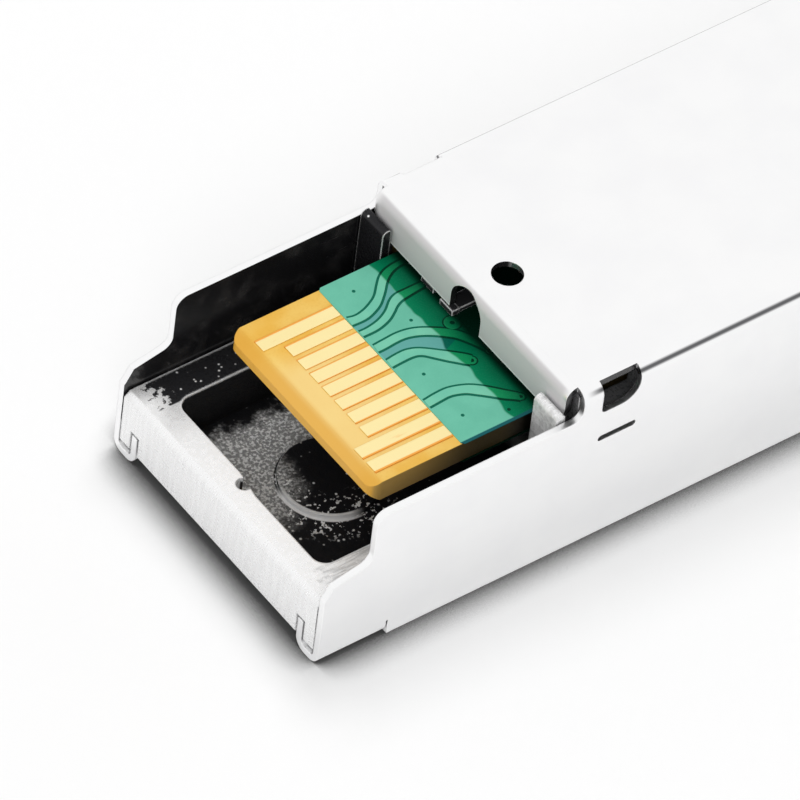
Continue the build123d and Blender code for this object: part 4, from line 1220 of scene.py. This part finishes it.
def makeVias():
    rings, wells = bmesh.new(), bmesh.new()
    low, wellTop = maskTop + vias["sunk"], maskTop + vias["wellTop"]
    inside, crown, outside = (maskTop + height for height in vias["heights"])
    for x, y, radius in viaRings:
        bore = min(vias["bore"], radius * vias["boreShare"])
        addRing(rings, (x, y), [
            (bore, maskTop), (bore, inside), (bore + vias["bevel"], crown),
            (radius - vias["bevel"], crown), (radius, outside), (radius, maskTop),
        ])
        addRing(wells, (x, y), flatRing(vias["hub"], bore, low, wellTop))
        addRing(wells, (x, y), flatRing(radius, radius + vias["moat"], low, maskTop + vias["moatTop"]))
    for x, y in viaDots:
        addRing(wells, (x, y), flatRing(vias["hub"], vias["dot"], low, wellTop), vias["dotSteps"])
    for mesh in (rings, wells):
        bmesh.ops.remove_doubles(mesh, verts=mesh.verts, dist=vias["merge"])
    newPiece("via_rings", rings, trackGreen)
    newPiece("via_wells", wells, outlineGreen)


makeTracks()
makeVias()
print("board surface done")


# Floor, world and lamps

stage = {
    "floor": grey(0.975),
    "floorHalf": 2.5,  # m
    "floorSunk": -0.02,  # mm
    "floorRoughness": 0.9,
    # painted contact shadow on the floor, from ambient occlusion, set by the next three
    "contact": 0.07,  # how light the floor stays where the object closes it in
    "openness": (0.42, 0.88),  # levels between which the closed floor brightens
    "reach": 2.3,  # mm, how far that darkening goes
    "samples": 8,
    "sky": 0.745,
    "keyPower": 0.90,
    "keySize": 0.30,
    "keyFrom": (0.38, 0.30, 0.88),
    "fillPower": 0.45,
    "fillSize": 0.25,
    "fillFrom": (-0.55, -0.60, 0.62),
    "distance": 0.6,  # m, from the part's origin to each lamp
}


def makeFloor():
    mesh = bmesh.new()
    bmesh.ops.create_grid(mesh, x_segments=4, y_segments=4, size=stage["floorHalf"])
    bmesh.ops.translate(mesh, verts=mesh.verts, vec=(0, 0, stage["floorSunk"] * mm))
    data = bpy.data.meshes.new("floor")
    mesh.to_mesh(data)
    mesh.free()
    floor = bpy.data.objects.new("floor", data)
    scene.collection.objects.link(floor)
    material, tree, shader = startFinish("paleFloor")
    # painted contact shadow: the floor's colour darkens where the object closes it in
    closed = put(
        tree, "ShaderNodeAmbientOcclusion", {"Distance": stage["reach"] * mm}, samples=stage["samples"]
    )
    openness = step(tree, closed.outputs["AO"], *stage["openness"], stage["contact"], 1.0)
    # painted shadow: the metal mirrors the plain floor, only the camera sees the painted darkening
    mirrored = put(tree, "ShaderNodeLightPath").outputs["Is Glossy Ray"]
    openness = larger(tree, openness, mirrored)
    feed(tree, shader["Base Color"], blendColour(tree, openness, grey(0.0), stage["floor"]))
    shader["Roughness"].default_value = stage["floorRoughness"]
    shader["Specular IOR Level"].default_value = 0.0
    data.materials.append(material)


def makeWorld():
    world = bpy.data.worlds.new("paleSky")
    world.use_nodes = True
    scene.world = world
    tree = world.node_tree
    back = tree.nodes["Background"].inputs
    rays = put(tree, "ShaderNodeLightPath").outputs
    seen = larger(tree, rays["Is Camera Ray"], rays["Is Glossy Ray"])
    seen = larger(tree, seen, rays["Is Transmission Ray"])
    back["Color"].default_value = grey(1)
    feed(tree, back["Strength"], step(tree, seen, 0, 1, stage["sky"], 1.0))


def makeLamp(name, power, size, toward):
    lamp = bpy.data.lights.new(name, "AREA")
    lamp.shape = "DISK"
    lamp.size = size
    lamp.energy = power
    holder = bpy.data.objects.new(name, lamp)
    toward = Vector(toward).normalized()
    turn = toward.to_track_quat("Z", "Y").to_matrix().to_4x4()
    holder.matrix_world = Matrix.Translation(toward * stage["distance"]) @ turn
    scene.collection.objects.link(holder)
    holder.visible_glossy = False  # the metal shows the even sky and not the lamp


makeFloor()
makeWorld()
makeLamp("keySoftbox", stage["keyPower"], stage["keySize"], stage["keyFrom"])
makeLamp("fillSoftbox", stage["fillPower"], stage["fillSize"], stage["fillFrom"])
print("stage done")
